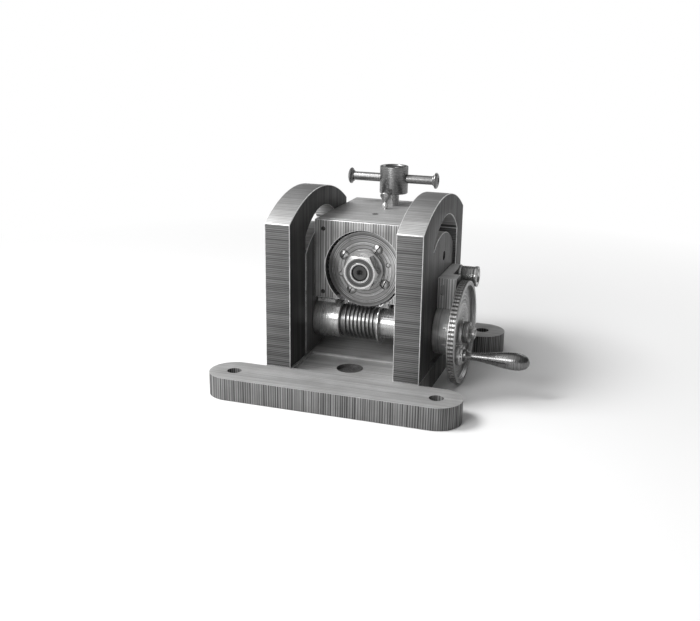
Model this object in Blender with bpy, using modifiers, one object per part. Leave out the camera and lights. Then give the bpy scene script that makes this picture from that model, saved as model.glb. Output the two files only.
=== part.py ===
"""Worm-geared hand press: a head with a horizontal spindle slides between two arched cheeks.

Metres, +Z up, +X towards the handwheel, -Y towards the front of the machine.
The origin is the centre of the base's underside.
"""
import math

import bmesh
import bpy
from mathutils import Matrix, Vector

MM = 0.001

# ---------------------------------------------------------------- clearances
SEAT = 0.3 * MM             # between pieces that are bolted or pressed together
RUN = 0.4 * MM              # radial, between a turning piece and its bearing
SLIDE_PLAY = 0.6 * MM       # between the head and the cheeks it slides in
THREAD_PLAY = 0.3 * MM      # radial, between a screw and its thread
OVERCUT = 5 * MM            # how far a cutter runs out past the face that it opens
TAP_SPARE = 1 * MM          # depth of a tapped hole beyond its screw's end
SMALL_EDGE = 0.8 * MM       # broken edge of cheeks and blocks
FINE_EDGE = 0.6 * MM        # broken edge of plates and slides
TURNED_EDGE = 1 * MM        # chamfer of turned pieces

# ---------------------------------------------------------------- base casting
BASE_LENGTH = 380 * MM      # along X, over the rounded ends of the bars
BASE_HEIGHT = 33 * MM
BAR_WIDTH = 74 * MM         # the front and the rear bar, each with two rounded ends
BAR_HOLE_RADIUS = 10.5 * MM
CHEEK_GAP = 158 * MM        # between the two cheeks
CHEEK_THICKNESS = 39 * MM
CHEEK_DEPTH = 250 * MM
POCKET_DEPTH = 4 * MM       # shallow machined pocket in the floor between the cheeks
POCKET_MARGIN = 3 * MM      # from the pocket to the cheeks
POCKET_BACK = -41 * MM
RECESS_RADIUS = 20 * MM     # round recess in the pocket's floor
RECESS_DEPTH = 6 * MM
RECESS_Y = -82 * MM
EDGE_BREAK = 1.0 * MM

# ---------------------------------------------------------------- cheeks
CHEEK_SPRING = 250 * MM     # height at which the arched top begins
CHEEK_RISE = 36 * MM
WINDOW_WIDTH = 148 * MM
WINDOW_Y = 12 * MM          # centre of the window
WINDOW_TOP = 254.5 * MM
WINDOW_RISE = 34 * MM
CHEEK_BOLT_RADIUS = 5 * MM
CHEEK_BOLT_REACH = 26 * MM  # thread length inside a cheek
CHEEK_BOLT_FLATS = 17 * MM
CHEEK_BOLT_HEAD = 7 * MM
BOLT_SET_IN = 1.7 * MM      # from the base's underside to the bolt's head
BOLT_ROOM_MARGIN = 3 * MM   # round the bolt's head

# ---------------------------------------------------------------- head
HEAD_TRAVEL = 24 * MM
HEAD_FRONT = -14 * MM       # Y of the block's front face, behind the cover plate
HEAD_BACK = 175 * MM
HEAD_BOTTOM = 118.5 * MM
HEAD_TOP = 241 * MM
PLATE_THICKNESS = 12 * MM
SLIDE_RECESS = 4.5 * MM     # the slide's outer face lies this far inside the cheek's
SLIDE_FOOT = 3 * MM         # gap under the slide at rest
CROWN_PLAY = 3.5 * MM       # gap left over the slide at the top of its travel
BRACKET_THICKNESS = 16 * MM
BRACKET_NOSE = 29 * MM      # thickness of the bracket's front part
NOSE_DEPTH = 30 * MM
BRACKET_FRONT = -14 * MM
BRACKET_BACK = 82 * MM
BRACKET_BOTTOM = 62 * MM
BRACKET_TOP = 164 * MM
BRACKET_SLOT_WIDTH = 5 * MM
BRACKET_SLOT_HEIGHT = 17 * MM
BRACKET_SLOT_DEPTH = 5 * MM
BRACKET_SLOT_DROP = 10 * MM # from the bracket's top
DRUM_RADIUS = 37 * MM
DRUM_LENGTH = 28 * MM

# ---------------------------------------------------------------- worm gearing
MODULE = 2.0 * MM
WHEEL_TEETH = 60
WHEEL_WIDTH = 16 * MM
WORM_PITCH_RADIUS = 26 * MM
TOOTH_ADDENDUM = 1.0        # in modules
TOOTH_DEDENDUM = 1.25       # in modules
PRESSURE_ANGLE = math.radians(14.5)
BACKLASH = 0.8 * MM         # taken off each thread and each tooth at the pitch line
WORM_LEFT = -35 * MM
WORM_RIGHT = 25 * MM
WORM_Y = -5 * MM
THREAD_SINK = 0.8 * MM          # the thread's root lies this far inside the core
THREAD_MARGIN = 1 * MM          # from the thread's ends to the worm's
THREAD_STEPS = 16               # to a turn
SPINDLE_Z = 167 * MM
WHEEL_HOLLOW_PLAY = 2.5 * MM    # radial, round the wheel's teeth
WHEEL_HOLLOW_SPARE = 2 * MM     # behind the wheel

# ---------------------------------------------------------------- spindle
SPINDLE_SEAT_RADIUS = 16 * MM
SPINDLE_FLANGE_RADIUS = 24 * MM
SPINDLE_FLANGE = 5 * MM
JOURNAL_RADIUS = 15 * MM
SPINDLE_THREAD_RADIUS = 12 * MM
CENTRE_DEPTH = 6 * MM           # turning centre in the spindle's end
CENTRE_RADIUS = 3 * MM
SPINDLE_END_DEPTH = 2 * MM      # the spindle's end lies this far inside the nut
SPINDLE_BACK = 96 * MM
BUSH_WALL = 5 * MM
FRONT_BUSH_LENGTH = 26 * MM
BUSH_FLANGE = 4 * MM
REAR_BUSH_LENGTH = 26 * MM
BUSH_SEAT_SPARE = 2 * MM        # behind the spindle's back end
CAP_RADIUS = 58.4 * MM
CAP_THICKNESS = 5 * MM
PLATE_OPENING_RADIUS = 61 * MM
CAP_PITCH_RADIUS = 38.5 * MM    # circle of the cap's screws and dowels
CAP_SCREW_ANGLES = [58, 148, 238, 328]
CAP_DOWEL_ANGLES = [15, 195]
CAP_SCREW_RADIUS = 3 * MM
CAP_SCREW_HEAD_RADIUS = 6.2 * MM
CAP_SCREW_HEAD = 4 * MM
CAP_SCREW_SHORT = 6 * MM        # from the screw's end to the wheel's back
CAP_DOWEL_RADIUS = 3 * MM
WASHER_RADIUS = 31 * MM
WASHER_THICKNESS = 5 * MM
NUT_FLATS = 50 * MM
NUT_THICKNESS = 20 * MM
NUT_CROWN_SLOPE = 1.7           # how far the corners' chamfer widens, per unit of depth

# ---------------------------------------------------------------- worm shaft and handwheel
SHAFT_RADIUS = 10 * MM
SHAFT_WAY_PLAY = 2 * MM         # round the shaft where it passes the slide
SHAFT_SET_IN = 2.4 * MM         # from the left bearing's outer end to the shaft's
WORM_BUSH_WALL = 5 * MM
LEFT_BOSS_RADIUS = 30 * MM
RIGHT_BOSS_RADIUS = 23 * MM
BEARING_FLANGE = 6 * MM
BEARING_FLANGE_INNER = 46 * MM  # the flange starts this far from the middle
BEARING_FLANGE_FRONT = -12 * MM
BEARING_FLANGE_BACK = 42 * MM
BEARING_WEB_HALF = 11 * MM
THRUST_RADIUS = 33 * MM         # round face on the right bearing that takes the worm's end thrust
THRUST_THICKNESS = 2.4 * MM
WHEEL_RELIEF = 1.5 * MM         # gap from the cut-away bearings to the wheel's teeth
HANDWHEEL_RADIUS = 78.5 * MM
WHEEL_GAP = 4.2 * MM            # from the index drum to the rim
RIM_WIDTH = 12 * MM
RIM_THICKNESS = 7 * MM
WHEEL_WEB = 4.5 * MM
DISH_SLOPE = 3 * MM             # the rim's inner wall leans in by this much
WEB_SET_IN = 1 * MM             # from the rim's inner face to the web's
HUB_RADIUS = 17.5 * MM
HUB_LENGTH = 23 * MM
HUB_SEAT_RADIUS = 9 * MM
SHAFT_THREAD_RADIUS = 6 * MM
SHAFT_THREAD_LENGTH = 8.5 * MM
SHAFT_NUT_RADIUS = 9.5 * MM
SHAFT_NUT_THICKNESS = 7 * MM
CRANK_RADIUS = 46 * MM
CRANK_ANGLE = math.radians(210)  # from +Y towards +Z, at rest
CRANK_PIN_RADIUS = 4 * MM
CRANK_SHANK_RADIUS = 5 * MM      # riveted through the wheel
CRANK_COLLAR_RADIUS = 16 * MM
CRANK_COLLAR = 9 * MM
CRANK_STEP_RADIUS = 12.5 * MM
CRANK_STEP = 4 * MM
CRANK_PIN_REACH = 80 * MM        # inside the grip
GRIP_LENGTH = 97 * MM
GRIP_SHAPE = [(0, 9.5), (0.035, 9.5), (0.07, 6.4), (0.16, 5.8), (0.3, 7.2), (0.45, 9.4), (0.6, 11.8),
              (0.74, 13), (0.86, 12.4), (0.94, 9.8), (0.98, 6.2)]  # share of length, radius in mm

# ---------------------------------------------------------------- lift screw and tommy bar
SCREW_Y = 131 * MM
SCREW_RADIUS = 9 * MM
SCREW_END = 5 * MM               # height of the screw's lower end at rest
NUT_BODY_RADIUS = 16 * MM
NUT_FLANGE_RADIUS = 24 * MM
NUT_FLANGE = 6 * MM
NUT_TOP = 60 * MM
NUT_NECK_STEP = 1 * MM           # the nut is this much slimmer over its flange
STOP_COLLAR_RADIUS = 16 * MM
STOP_COLLAR = 9 * MM
LEVER_HUB_RADIUS = 23 * MM
LEVER_HUB_HEIGHT = 44 * MM
LEVER_HUB_GAP = 20 * MM          # from the head's top to the hub
LEVER_HUB_DISH = 3 * MM
LEVER_HUB_RIM = 3 * MM
LEVER_HUB_EDGE = 1.5 * MM
SCREW_TOP_DROP = 2 * MM          # from the dish's floor to the screw's top
HUB_PIN_HEIGHT = 8 * MM          # over the hub's foot
PIN_SHORT = 1 * MM               # a pin's ends lie this far inside the hub and the collar
BAR_RADIUS = 7 * MM
BAR_LENGTH = 150 * MM            # over the knobs
BAR_SHIFT = -1 * MM              # where the bar stands at rest
BAR_FROM_TOP = 20 * MM
KNOB_RADIUS = 13 * MM
KNOB_THICKNESS = 8 * MM
KNOB_EDGE = 0.7 * MM             # the knob's rounding at its corners, on the radius
KNOB_EDGE_DEPTH = 1.2 * MM       # and along its axis
KNOB_CROWN = 2.5 * MM            # rounding of its outer face
KNOB_NECK = 2 * MM               # rounding towards the bar
BAR_SHOULDER = 2 * MM            # from the bar's radius to its ends' inside the knobs
PIN_RADIUS = 2 * MM

# ---------------------------------------------------------------- small screws and knobs
LOCK_X = -2.5 * MM
LOCK_Y = 92 * MM
LOCK_RADIUS = 3 * MM
LOCK_BALL_RADIUS = 4.5 * MM
LOCK_WING_WIDTH = 14 * MM
LOCK_WING_HEIGHT = 20 * MM
LOCK_WING_THICKNESS = 5 * MM
LOCK_WING_NECK = 2 * MM          # half the wing's width where it meets the ball
CLAMP_Y = 60 * MM
CLAMP_Z = 152 * MM
CLAMP_SHANK_RADIUS = 5 * MM
CLAMP_REACH = 30 * MM
CLAMP_WASHER_RADIUS = 15.5 * MM
CLAMP_WASHER = 5 * MM
CLAMP_BODY_RADIUS = 13.5 * MM
CLAMP_LENGTH = 25 * MM
CLAMP_RIM_RADIUS = 16 * MM
CLAMP_RIM = 7 * MM
OIL_HOLE_X = -4 * MM
OIL_HOLE_Y = 45 * MM
OIL_HOLE_RADIUS = 2.5 * MM
OIL_MOUTH_RADIUS = 5 * MM
OIL_MOUTH_DEPTH = 4 * MM
PLATE_SCREW_RADIUS = 2 * MM
PLATE_SCREW_HEAD_RADIUS = 3.2 * MM
PLATE_SCREW_LENGTH = 24 * MM
PLATE_SCREW_HEAD = 2.4 * MM
PLATE_SCREW_SINK = 3 * MM        # depth of the head's seat in the plate
PLATE_SCREW_SHORT = 6 * MM       # the screw stops this short of its tapped hole
PLATE_SCREW_INSET = 14 * MM      # from the plate's sides
PLATE_SCREW_DROP = 14 * MM       # from its top
PLATE_SCREW_LIFT = 9.5 * MM      # from its bottom
SLIDE_SCREW_RADIUS = 4 * MM
SLIDE_SCREW_HEAD_RADIUS = 7 * MM
SLIDE_SCREW_HEAD = 8 * MM
SLIDE_SCREW_REACH = 20 * MM
SLIDE_SCREW_PLACES = [(22 * MM, 190 * MM), (58 * MM, 135 * MM)]
BRACKET_SCREW_PLACES = [(46 * MM, 72 * MM), (72 * MM, 108 * MM)]
BRACKET_SCREW_RADIUS = 3 * MM
BRACKET_SCREW_HEAD_RADIUS = 6 * MM
BRACKET_SCREW_HEAD = 4 * MM
BRACKET_SCREW_REACH = 14 * MM
SLOT_WIDTH = 1.6 * MM
SLOT_DEPTH = 2.0 * MM

# ---------------------------------------------------------------- derived places
CHEEK_INNER = CHEEK_GAP / 2
CHEEK_OUTER = CHEEK_INNER + CHEEK_THICKNESS
CHEEK_FOOT = BASE_HEIGHT + SEAT
CHEEK_FRONT = -CHEEK_DEPTH / 2
CHEEK_BACK = CHEEK_DEPTH / 2
WINDOW_FRONT = WINDOW_Y - WINDOW_WIDTH / 2
WINDOW_BACK = WINDOW_Y + WINDOW_WIDTH / 2
HEAD_HALF = CHEEK_INNER - SLIDE_PLAY
PLATE_BACK = HEAD_FRONT - SEAT
PLATE_FRONT = PLATE_BACK - PLATE_THICKNESS
SLIDE_INNER = HEAD_HALF + SEAT
SLIDE_OUTER = CHEEK_OUTER - SLIDE_RECESS
SLIDE_BOTTOM = BASE_HEIGHT + SLIDE_FOOT
SLIDE_TOP = WINDOW_TOP - HEAD_TRAVEL - CROWN_PLAY
WHEEL_PITCH_RADIUS = MODULE * WHEEL_TEETH / 2
WHEEL_TIP_RADIUS = WHEEL_PITCH_RADIUS + TOOTH_ADDENDUM * MODULE
WHEEL_ROOT_RADIUS = WHEEL_PITCH_RADIUS - TOOTH_DEDENDUM * MODULE
WORM_TIP_RADIUS = WORM_PITCH_RADIUS + TOOTH_ADDENDUM * MODULE
WORM_ROOT_RADIUS = WORM_PITCH_RADIUS - TOOTH_DEDENDUM * MODULE
THREAD_PITCH = math.pi * MODULE
WORM_Z = SPINDLE_Z - WHEEL_PITCH_RADIUS - WORM_PITCH_RADIUS
WHEEL_FRONT = WORM_Y - WHEEL_WIDTH / 2
WHEEL_BACK = WORM_Y + WHEEL_WIDTH / 2
CAP_BACK = WHEEL_FRONT - SEAT
CAP_FRONT = CAP_BACK - CAP_THICKNESS
WASHER_FRONT = CAP_FRONT - SEAT - WASHER_THICKNESS
NUT_FRONT = WASHER_FRONT - SEAT - NUT_THICKNESS
SPINDLE_FLANGE_BACK = WHEEL_BACK + SEAT + SPINDLE_FLANGE
BUSH_FRONT = SPINDLE_FLANGE_BACK + RUN
BUSH_RADIUS = JOURNAL_RADIUS + RUN + BUSH_WALL
BUSH_FLANGE_RADIUS = BUSH_RADIUS + BUSH_WALL
REAR_BUSH_FRONT = SPINDLE_BACK - REAR_BUSH_LENGTH
WORM_BUSH_RADIUS = SHAFT_RADIUS + RUN + WORM_BUSH_WALL
LEFT_BOSS_LEFT = -HEAD_HALF
SHAFT_LEFT = LEFT_BOSS_LEFT + SHAFT_SET_IN
LEFT_BOSS_RIGHT = WORM_LEFT - 2 * RUN
RIGHT_BOSS_LEFT = WORM_RIGHT + RUN
BEARING_TOP = HEAD_BOTTOM - SEAT
BRACKET_INNER = SLIDE_OUTER + SEAT
DRUM_OUTER = BRACKET_INNER + DRUM_LENGTH
HANDWHEEL_X = DRUM_OUTER + WHEEL_GAP
HUB_INNER = DRUM_OUTER + RUN
HUB_OUTER = HUB_INNER + HUB_LENGTH
WEB_OUTER = HANDWHEEL_X + WEB_SET_IN + WHEEL_WEB
SHAFT_RIGHT = HUB_OUTER + SHAFT_THREAD_LENGTH
CRANK_Y = WORM_Y + CRANK_RADIUS * math.cos(CRANK_ANGLE)
CRANK_Z = WORM_Z + CRANK_RADIUS * math.sin(CRANK_ANGLE)
GRIP_START = WEB_OUTER + SEAT + CRANK_COLLAR + CRANK_STEP + RUN
LEVER_HUB_BOTTOM = HEAD_TOP + LEVER_HUB_GAP
LEVER_HUB_TOP = LEVER_HUB_BOTTOM + LEVER_HUB_HEIGHT
BAR_Z = LEVER_HUB_TOP - BAR_FROM_TOP

RIGHT = Vector((1, 0, 0))
LEFT = Vector((-1, 0, 0))
BACK = Vector((0, 1, 0))
FRONT = Vector((0, -1, 0))
UP = Vector((0, 0, 1))

# colour, roughness, metallic
FINISHES = {
    "casting": ((0.25, 0.25, 0.26, 1), 0.62, 0.75),
    "planed": ((0.42, 0.42, 0.43, 1), 0.42, 0.95),
    "bright": ((0.62, 0.62, 0.63, 1), 0.26, 1.0),
    "dark": ((0.10, 0.10, 0.11, 1), 0.48, 0.9),
    "bronze": ((0.46, 0.33, 0.18, 1), 0.40, 1.0),
}


# ================================================================ tools
def new_collection(name):
    collection = bpy.data.collections.new(name)
    bpy.context.scene.collection.children.link(collection)
    return collection


def clear_scene():
    for old in list(bpy.data.objects):
        bpy.data.objects.remove(old, do_unlink=True)


clear_scene()
PARTS = new_collection("worm_geared_hand_press")
CUTTERS = new_collection("cutters")


def finish_material(name, finish):
    colour, roughness, metallic = FINISHES[finish]
    material = bpy.data.materials.new(name + "_finish")
    material.use_nodes = True
    shader = material.node_tree.nodes["Principled BSDF"]
    shader.inputs["Base Color"].default_value = colour
    shader.inputs["Roughness"].default_value = roughness
    shader.inputs["Metallic"].default_value = metallic
    return material


def add_object(name, mesh, finish):
    """Links a mesh as a part, or as a cutter where finish is None."""
    piece = bpy.data.objects.new(name, mesh)
    if finish is None:
        CUTTERS.objects.link(piece)
        piece.hide_render = True
        piece.display_type = "WIRE"
    else:
        PARTS.objects.link(piece)
        mesh.materials.append(finish_material(name, finish))
    return piece


def smooth(mesh, angle=35):
    mesh.shade_smooth()
    mesh.set_sharp_from_angle(angle=math.radians(angle))


def frame_along(start, direction):
    """Matrix that puts local Z along direction, with its origin at start."""
    turn = UP.rotation_difference(Vector(direction)).to_matrix().to_4x4()
    return Matrix.Translation(Vector(start)) @ turn


def box(name, low, high, finish=None):
    work = bmesh.new()
    bmesh.ops.create_cube(work, size=1)
    low, high = Vector(low), Vector(high)
    bmesh.ops.scale(work, vec=high - low, verts=work.verts)
    bmesh.ops.translate(work, vec=(low + high) / 2, verts=work.verts)
    mesh = bpy.data.meshes.new(name)
    work.to_mesh(mesh)
    work.free()
    return add_object(name, mesh, finish)


def rod(name, start, direction, length, radius, segments=32, finish=None, end_radius=None):
    """A cylinder or a cone that starts at a point; its origin is on its axis."""
    work = bmesh.new()
    bmesh.ops.create_cone(work, cap_ends=True, segments=segments, radius1=radius,
                          radius2=radius if end_radius is None else end_radius, depth=length)
    bmesh.ops.translate(work, vec=(0, 0, length / 2), verts=work.verts)
    mesh = bpy.data.meshes.new(name)
    work.to_mesh(mesh)
    work.free()
    smooth(mesh)
    piece = add_object(name, mesh, finish)
    piece.matrix_world = frame_along(start, direction)
    return piece


def turned(name, profile, start, direction, steps=48, finish=None, closed=True):
    """A turned piece: profile is (radius, height) down the outer side and back up the bore.

    A piece with no bore gives closed=False, with both ends of its profile on the axis.
    """
    mesh = bpy.data.meshes.new(name)
    points = [(radius, 0, height) for radius, height in profile]
    edges = [(i, i + 1) for i in range(len(points) - 1)]
    if closed:
        edges.append((len(points) - 1, 0))
    mesh.from_pydata(points, edges, [])
    piece = add_object(name, mesh, finish)
    piece.matrix_world = frame_along(start, direction)
    screw = piece.modifiers.new("turn", "SCREW")
    screw.axis = "Z"
    screw.steps = steps
    screw.render_steps = steps
    screw.use_merge_vertices = True
    screw.merge_threshold = 0.00001
    screw.use_smooth_shade = True
    return piece


def ring(name, start, direction, length, radius, bore, steps=40, finish=None, chamfer=0.0):
    c = chamfer
    profile = [(radius - c, length), (radius, length - c), (radius, c), (radius - c, 0),
               (bore, 0), (bore, length)]
    if c == 0:
        profile = [(radius, length), (radius, 0), (bore, 0), (bore, length)]
    return turned(name, profile, start, direction, steps, finish)


PLANES = {
    "XY": Matrix(((1, 0, 0, 0), (0, 1, 0, 0), (0, 0, 1, 0), (0, 0, 0, 1))),
    "YZ": Matrix(((0, 0, 1, 0), (1, 0, 0, 0), (0, 1, 0, 0), (0, 0, 0, 1))),
    "XZ": Matrix(((1, 0, 0, 0), (0, 0, -1, 0), (0, 1, 0, 0), (0, 0, 0, 1))),
}


def plate(name, outlines, plane, low, high, finish=None):
    """Extrudes flat outlines, the first one outside and the rest holes.

    The plate spans low to high along the plane's normal: +X for YZ, +Z for XY, and -Y for XZ,
    where low and high are counted towards the front.
    """
    curve = bpy.data.curves.new(name, "CURVE")
    curve.dimensions = "2D"
    curve.fill_mode = "BOTH"
    curve.extrude = (high - low) / 2
    for outline in outlines:
        spline = curve.splines.new("POLY")
        spline.points.add(len(outline) - 1)
        for point, (u, v) in zip(spline.points, outline):
            point.co = (u, v, 0, 1)
        spline.use_cyclic_u = True
    shape = bpy.data.objects.new(name + "_outline", curve)
    CUTTERS.objects.link(shape)
    shape.matrix_world = PLANES[plane] @ Matrix.Translation((0, 0, (low + high) / 2))
    bpy.context.view_layer.update()
    mesh = bpy.data.meshes.new_from_object(shape.evaluated_get(bpy.context.evaluated_depsgraph_get()))
    mesh.name = name
    work = bmesh.new()
    work.from_mesh(mesh)
    bmesh.ops.remove_doubles(work, verts=work.verts, dist=0.000001)
    bmesh.ops.recalc_face_normals(work, faces=work.faces)
    work.to_mesh(mesh)
    work.free()
    smooth(mesh)
    piece = add_object(name, mesh, finish)
    piece.matrix_world = shape.matrix_world
    bpy.data.objects.remove(shape, do_unlink=True)
    return piece


def cut(piece, *cutters):
    for cutter in cutters:
        boolean = piece.modifiers.new("cut_" + cutter.name, "BOOLEAN")
        boolean.operation = "DIFFERENCE"
        boolean.object = cutter


def join(piece, *others):
    for other in others:
        boolean = piece.modifiers.new("join_" + other.name, "BOOLEAN")
        boolean.operation = "UNION"
        boolean.object = other


def break_edges(piece, width=EDGE_BREAK, segments=1, angle=50):
    bevel = piece.modifiers.new("edge_break", "BEVEL")
    bevel.width = width
    bevel.segments = segments
    bevel.limit_method = "ANGLE"
    bevel.angle_limit = math.radians(angle)


def arc(centre_u, centre_v, radius, start, end, count):
    """Points on a circle from one angle to another, in degrees, both ends included."""
    points = []
    for i in range(count + 1):
        angle = math.radians(start + (end - start) * i / count)
        points.append((centre_u + radius * math.cos(angle), centre_v + radius * math.sin(angle)))
    return points


def circle(centre_u, centre_v, radius, count):
    return arc(centre_u, centre_v, radius, 0, 360, count)[:-1]


def arch(centre, half_width, top, rise, count=28):
    """Points of a segmental arch, from its low -u end over the crown to its +u end."""
    radius = (half_width ** 2 + rise ** 2) / (2 * rise)
    half_angle = math.degrees(math.asin(min(1.0, half_width / radius)))
    if rise > half_width:
        half_angle = 180 - half_angle
    return arc(centre, top - radius, radius, 90 + half_angle, 90 - half_angle, count)


def polar(centre_u, centre_v, radius, degrees):
    angle = math.radians(degrees)
    return centre_u + radius * math.cos(angle), centre_v + radius * math.sin(angle)


def repeat(names, source, places, finish):
    """One object per placing matrix; they share the source piece's evaluated mesh."""
    bpy.context.view_layer.update()
    evaluated = source.evaluated_get(bpy.context.evaluated_depsgraph_get())
    mesh = bpy.data.meshes.new_from_object(evaluated)
    mesh.materials.clear()
    mesh.materials.append(finish_material(names[0], finish))
    smooth(mesh)
    bpy.data.objects.remove(source, do_unlink=True)
    copies = []
    for name, place in zip(names, places):
        copy = bpy.data.objects.new(name, mesh)
        PARTS.objects.link(copy)
        copy.matrix_world = place
        copies.append(copy)
    return copies


def numbered(name, places):
    return [f"{name}_{i + 1}" for i in range(len(places))]


def screw_form(name, radius, length, head_radius, head, slotted=True, turn=45, segments=20):
    """A screw along local +Z: the head lies below z=0 and the shank above it."""
    profile = [(0, length), (radius, length), (radius, 0), (head_radius, 0), (head_radius, -head), (0, -head)]
    form = turned(name, profile, (0, 0, 0), UP, segments, closed=False)
    if slotted:
        slot = box(name + "_slot", (-2 * head_radius, -SLOT_WIDTH / 2, -2 * head),
                   (2 * head_radius, SLOT_WIDTH / 2, -head + SLOT_DEPTH))
        slot.matrix_world = Matrix.Rotation(math.radians(turn), 4, "Z")
        cut(form, slot)
    return form


def empty(name, place):
    pivot = bpy.data.objects.new(name, None)
    PARTS.objects.link(pivot)
    pivot.location = place
    return pivot


def hang(pivot, *pieces):
    """Parents pieces to a pivot and leaves them where they are."""
    bpy.context.view_layer.update()
    for piece in pieces:
        piece.parent = pivot
        piece.matrix_parent_inverse = pivot.matrix_world.inverted()


# ================================================================ frame: base, cheeks, lift nut
CHEEK_BOLT_PLACES = [(side * (CHEEK_INNER + CHEEK_THICKNESS / 2), y)
                     for side in (-1, 1)
                     for y in ((CHEEK_FRONT + WINDOW_FRONT) / 2, (WINDOW_BACK + CHEEK_BACK) / 2)]


def base_outline():
    """The web between the cheeks and a bar with rounded ends before and behind it."""
    round_radius = BAR_WIDTH / 2
    centre_x = BASE_LENGTH / 2 - round_radius
    front_y = CHEEK_FRONT - round_radius
    back_y = CHEEK_BACK + round_radius
    return ([(CHEEK_OUTER, CHEEK_FRONT)]
            + arc(centre_x, front_y, round_radius, 90, -90, 12)
            + arc(-centre_x, front_y, round_radius, 270, 90, 12)
            + [(-CHEEK_OUTER, CHEEK_FRONT), (-CHEEK_OUTER, CHEEK_BACK)]
            + arc(-centre_x, back_y, round_radius, 270, 90, 12)
            + arc(centre_x, back_y, round_radius, 90, -90, 12)
            + [(CHEEK_OUTER, CHEEK_BACK)])


def bar_hole_places():
    x = BASE_LENGTH / 2 - BAR_WIDTH / 2
    y = CHEEK_BACK + BAR_WIDTH / 2
    return [(sx * x, sy * y) for sx in (-1, 1) for sy in (-1, 1)]


def make_base():
    holes = [circle(x, y, BAR_HOLE_RADIUS, 16) for x, y in bar_hole_places()]
    holes.append(circle(0, SCREW_Y, NUT_BODY_RADIUS + SEAT, 20))
    base = plate("base_casting", [base_outline()] + holes, "XY", 0, BASE_HEIGHT, "casting")
    break_edges(base)
    pocket_half = CHEEK_INNER - POCKET_MARGIN
    cut(base, box("pocket", (-pocket_half, CHEEK_FRONT + POCKET_MARGIN, BASE_HEIGHT - POCKET_DEPTH),
                  (pocket_half, POCKET_BACK, BASE_HEIGHT + POCKET_DEPTH)))
    floor = BASE_HEIGHT - POCKET_DEPTH
    cut(base, rod("recess", (0, RECESS_Y, floor - RECESS_DEPTH), UP, 2 * RECESS_DEPTH, RECESS_RADIUS, 24))
    for i, (x, y) in enumerate(CHEEK_BOLT_PLACES):
        head_room = CHEEK_BOLT_FLATS / 2 + BOLT_ROOM_MARGIN
        cut(base, rod(f"bolt_room_{i}", (x, y, -CHEEK_BOLT_HEAD), UP,
                      2 * CHEEK_BOLT_HEAD + BOLT_SET_IN + SEAT, head_room, 12))
        cut(base, rod(f"bolt_way_{i}", (x, y, SEAT), UP, 2 * BASE_HEIGHT, CHEEK_BOLT_RADIUS + SEAT, 10))
    cut(base, rod("drum_room", (CHEEK_INNER, WORM_Y, WORM_Z), RIGHT, 2 * CHEEK_THICKNESS,
                  DRUM_RADIUS + SLIDE_PLAY, 36))
    return base


def cheek_outline():
    window = arch(WINDOW_Y, WINDOW_WIDTH / 2, WINDOW_TOP, WINDOW_RISE, 16)
    return ([(CHEEK_FRONT, CHEEK_FOOT)]
            + arch(0, CHEEK_DEPTH / 2, CHEEK_SPRING + CHEEK_RISE, CHEEK_RISE, 16)
            + [(CHEEK_BACK, CHEEK_FOOT), (WINDOW_BACK, CHEEK_FOOT)]
            + window[::-1]
            + [(WINDOW_FRONT, CHEEK_FOOT)])


def make_cheek(name, side):
    low, high = sorted((side * CHEEK_INNER, side * CHEEK_OUTER))
    cheek = plate(name, [cheek_outline()], "YZ", low, high, "planed")
    break_edges(cheek, SMALL_EDGE)
    for i, (x, y) in enumerate(CHEEK_BOLT_PLACES):
        if x * side > 0:
            cut(cheek, rod(f"{name}_tap_{i}", (x, y, 0), UP,
                           CHEEK_FOOT + CHEEK_BOLT_REACH + 2 * TAP_SPARE, CHEEK_BOLT_RADIUS + SEAT, 10))
    return cheek


def make_cheek_bolts():
    head_top = CHEEK_BOLT_HEAD + BOLT_SET_IN
    shank = CHEEK_FOOT + CHEEK_BOLT_REACH - head_top
    corner = CHEEK_BOLT_FLATS / 2 / math.cos(math.radians(30))
    form = screw_form("bolt_form", CHEEK_BOLT_RADIUS, shank, corner, CHEEK_BOLT_HEAD,
                      slotted=False, segments=6)
    places = [Matrix.Translation((x, y, head_top)) for x, y in CHEEK_BOLT_PLACES]
    return repeat(numbered("cheek_bolt", places), form, places, "dark")


def make_lift_nut():
    bore = SCREW_RADIUS + THREAD_PLAY
    neck = NUT_BODY_RADIUS - NUT_NECK_STEP
    flange_low = BASE_HEIGHT + SEAT
    profile = [(neck, NUT_TOP), (neck, flange_low + NUT_FLANGE), (NUT_FLANGE_RADIUS, flange_low + NUT_FLANGE),
               (NUT_FLANGE_RADIUS, flange_low), (NUT_BODY_RADIUS, flange_low), (NUT_BODY_RADIUS, SEAT),
               (bore, SEAT), (bore, NUT_TOP)]
    return turned("lift_nut", profile, (0, SCREW_Y, 0), UP, 20, "bronze")


# ================================================================ head: block, cover plate, slides
def plate_screw_places():
    x = HEAD_HALF - PLATE_SCREW_INSET
    return [(sx * x, z) for sx in (-1, 1)
            for z in (HEAD_BOTTOM + PLATE_SCREW_LIFT, HEAD_TOP - PLATE_SCREW_DROP)]


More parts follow.
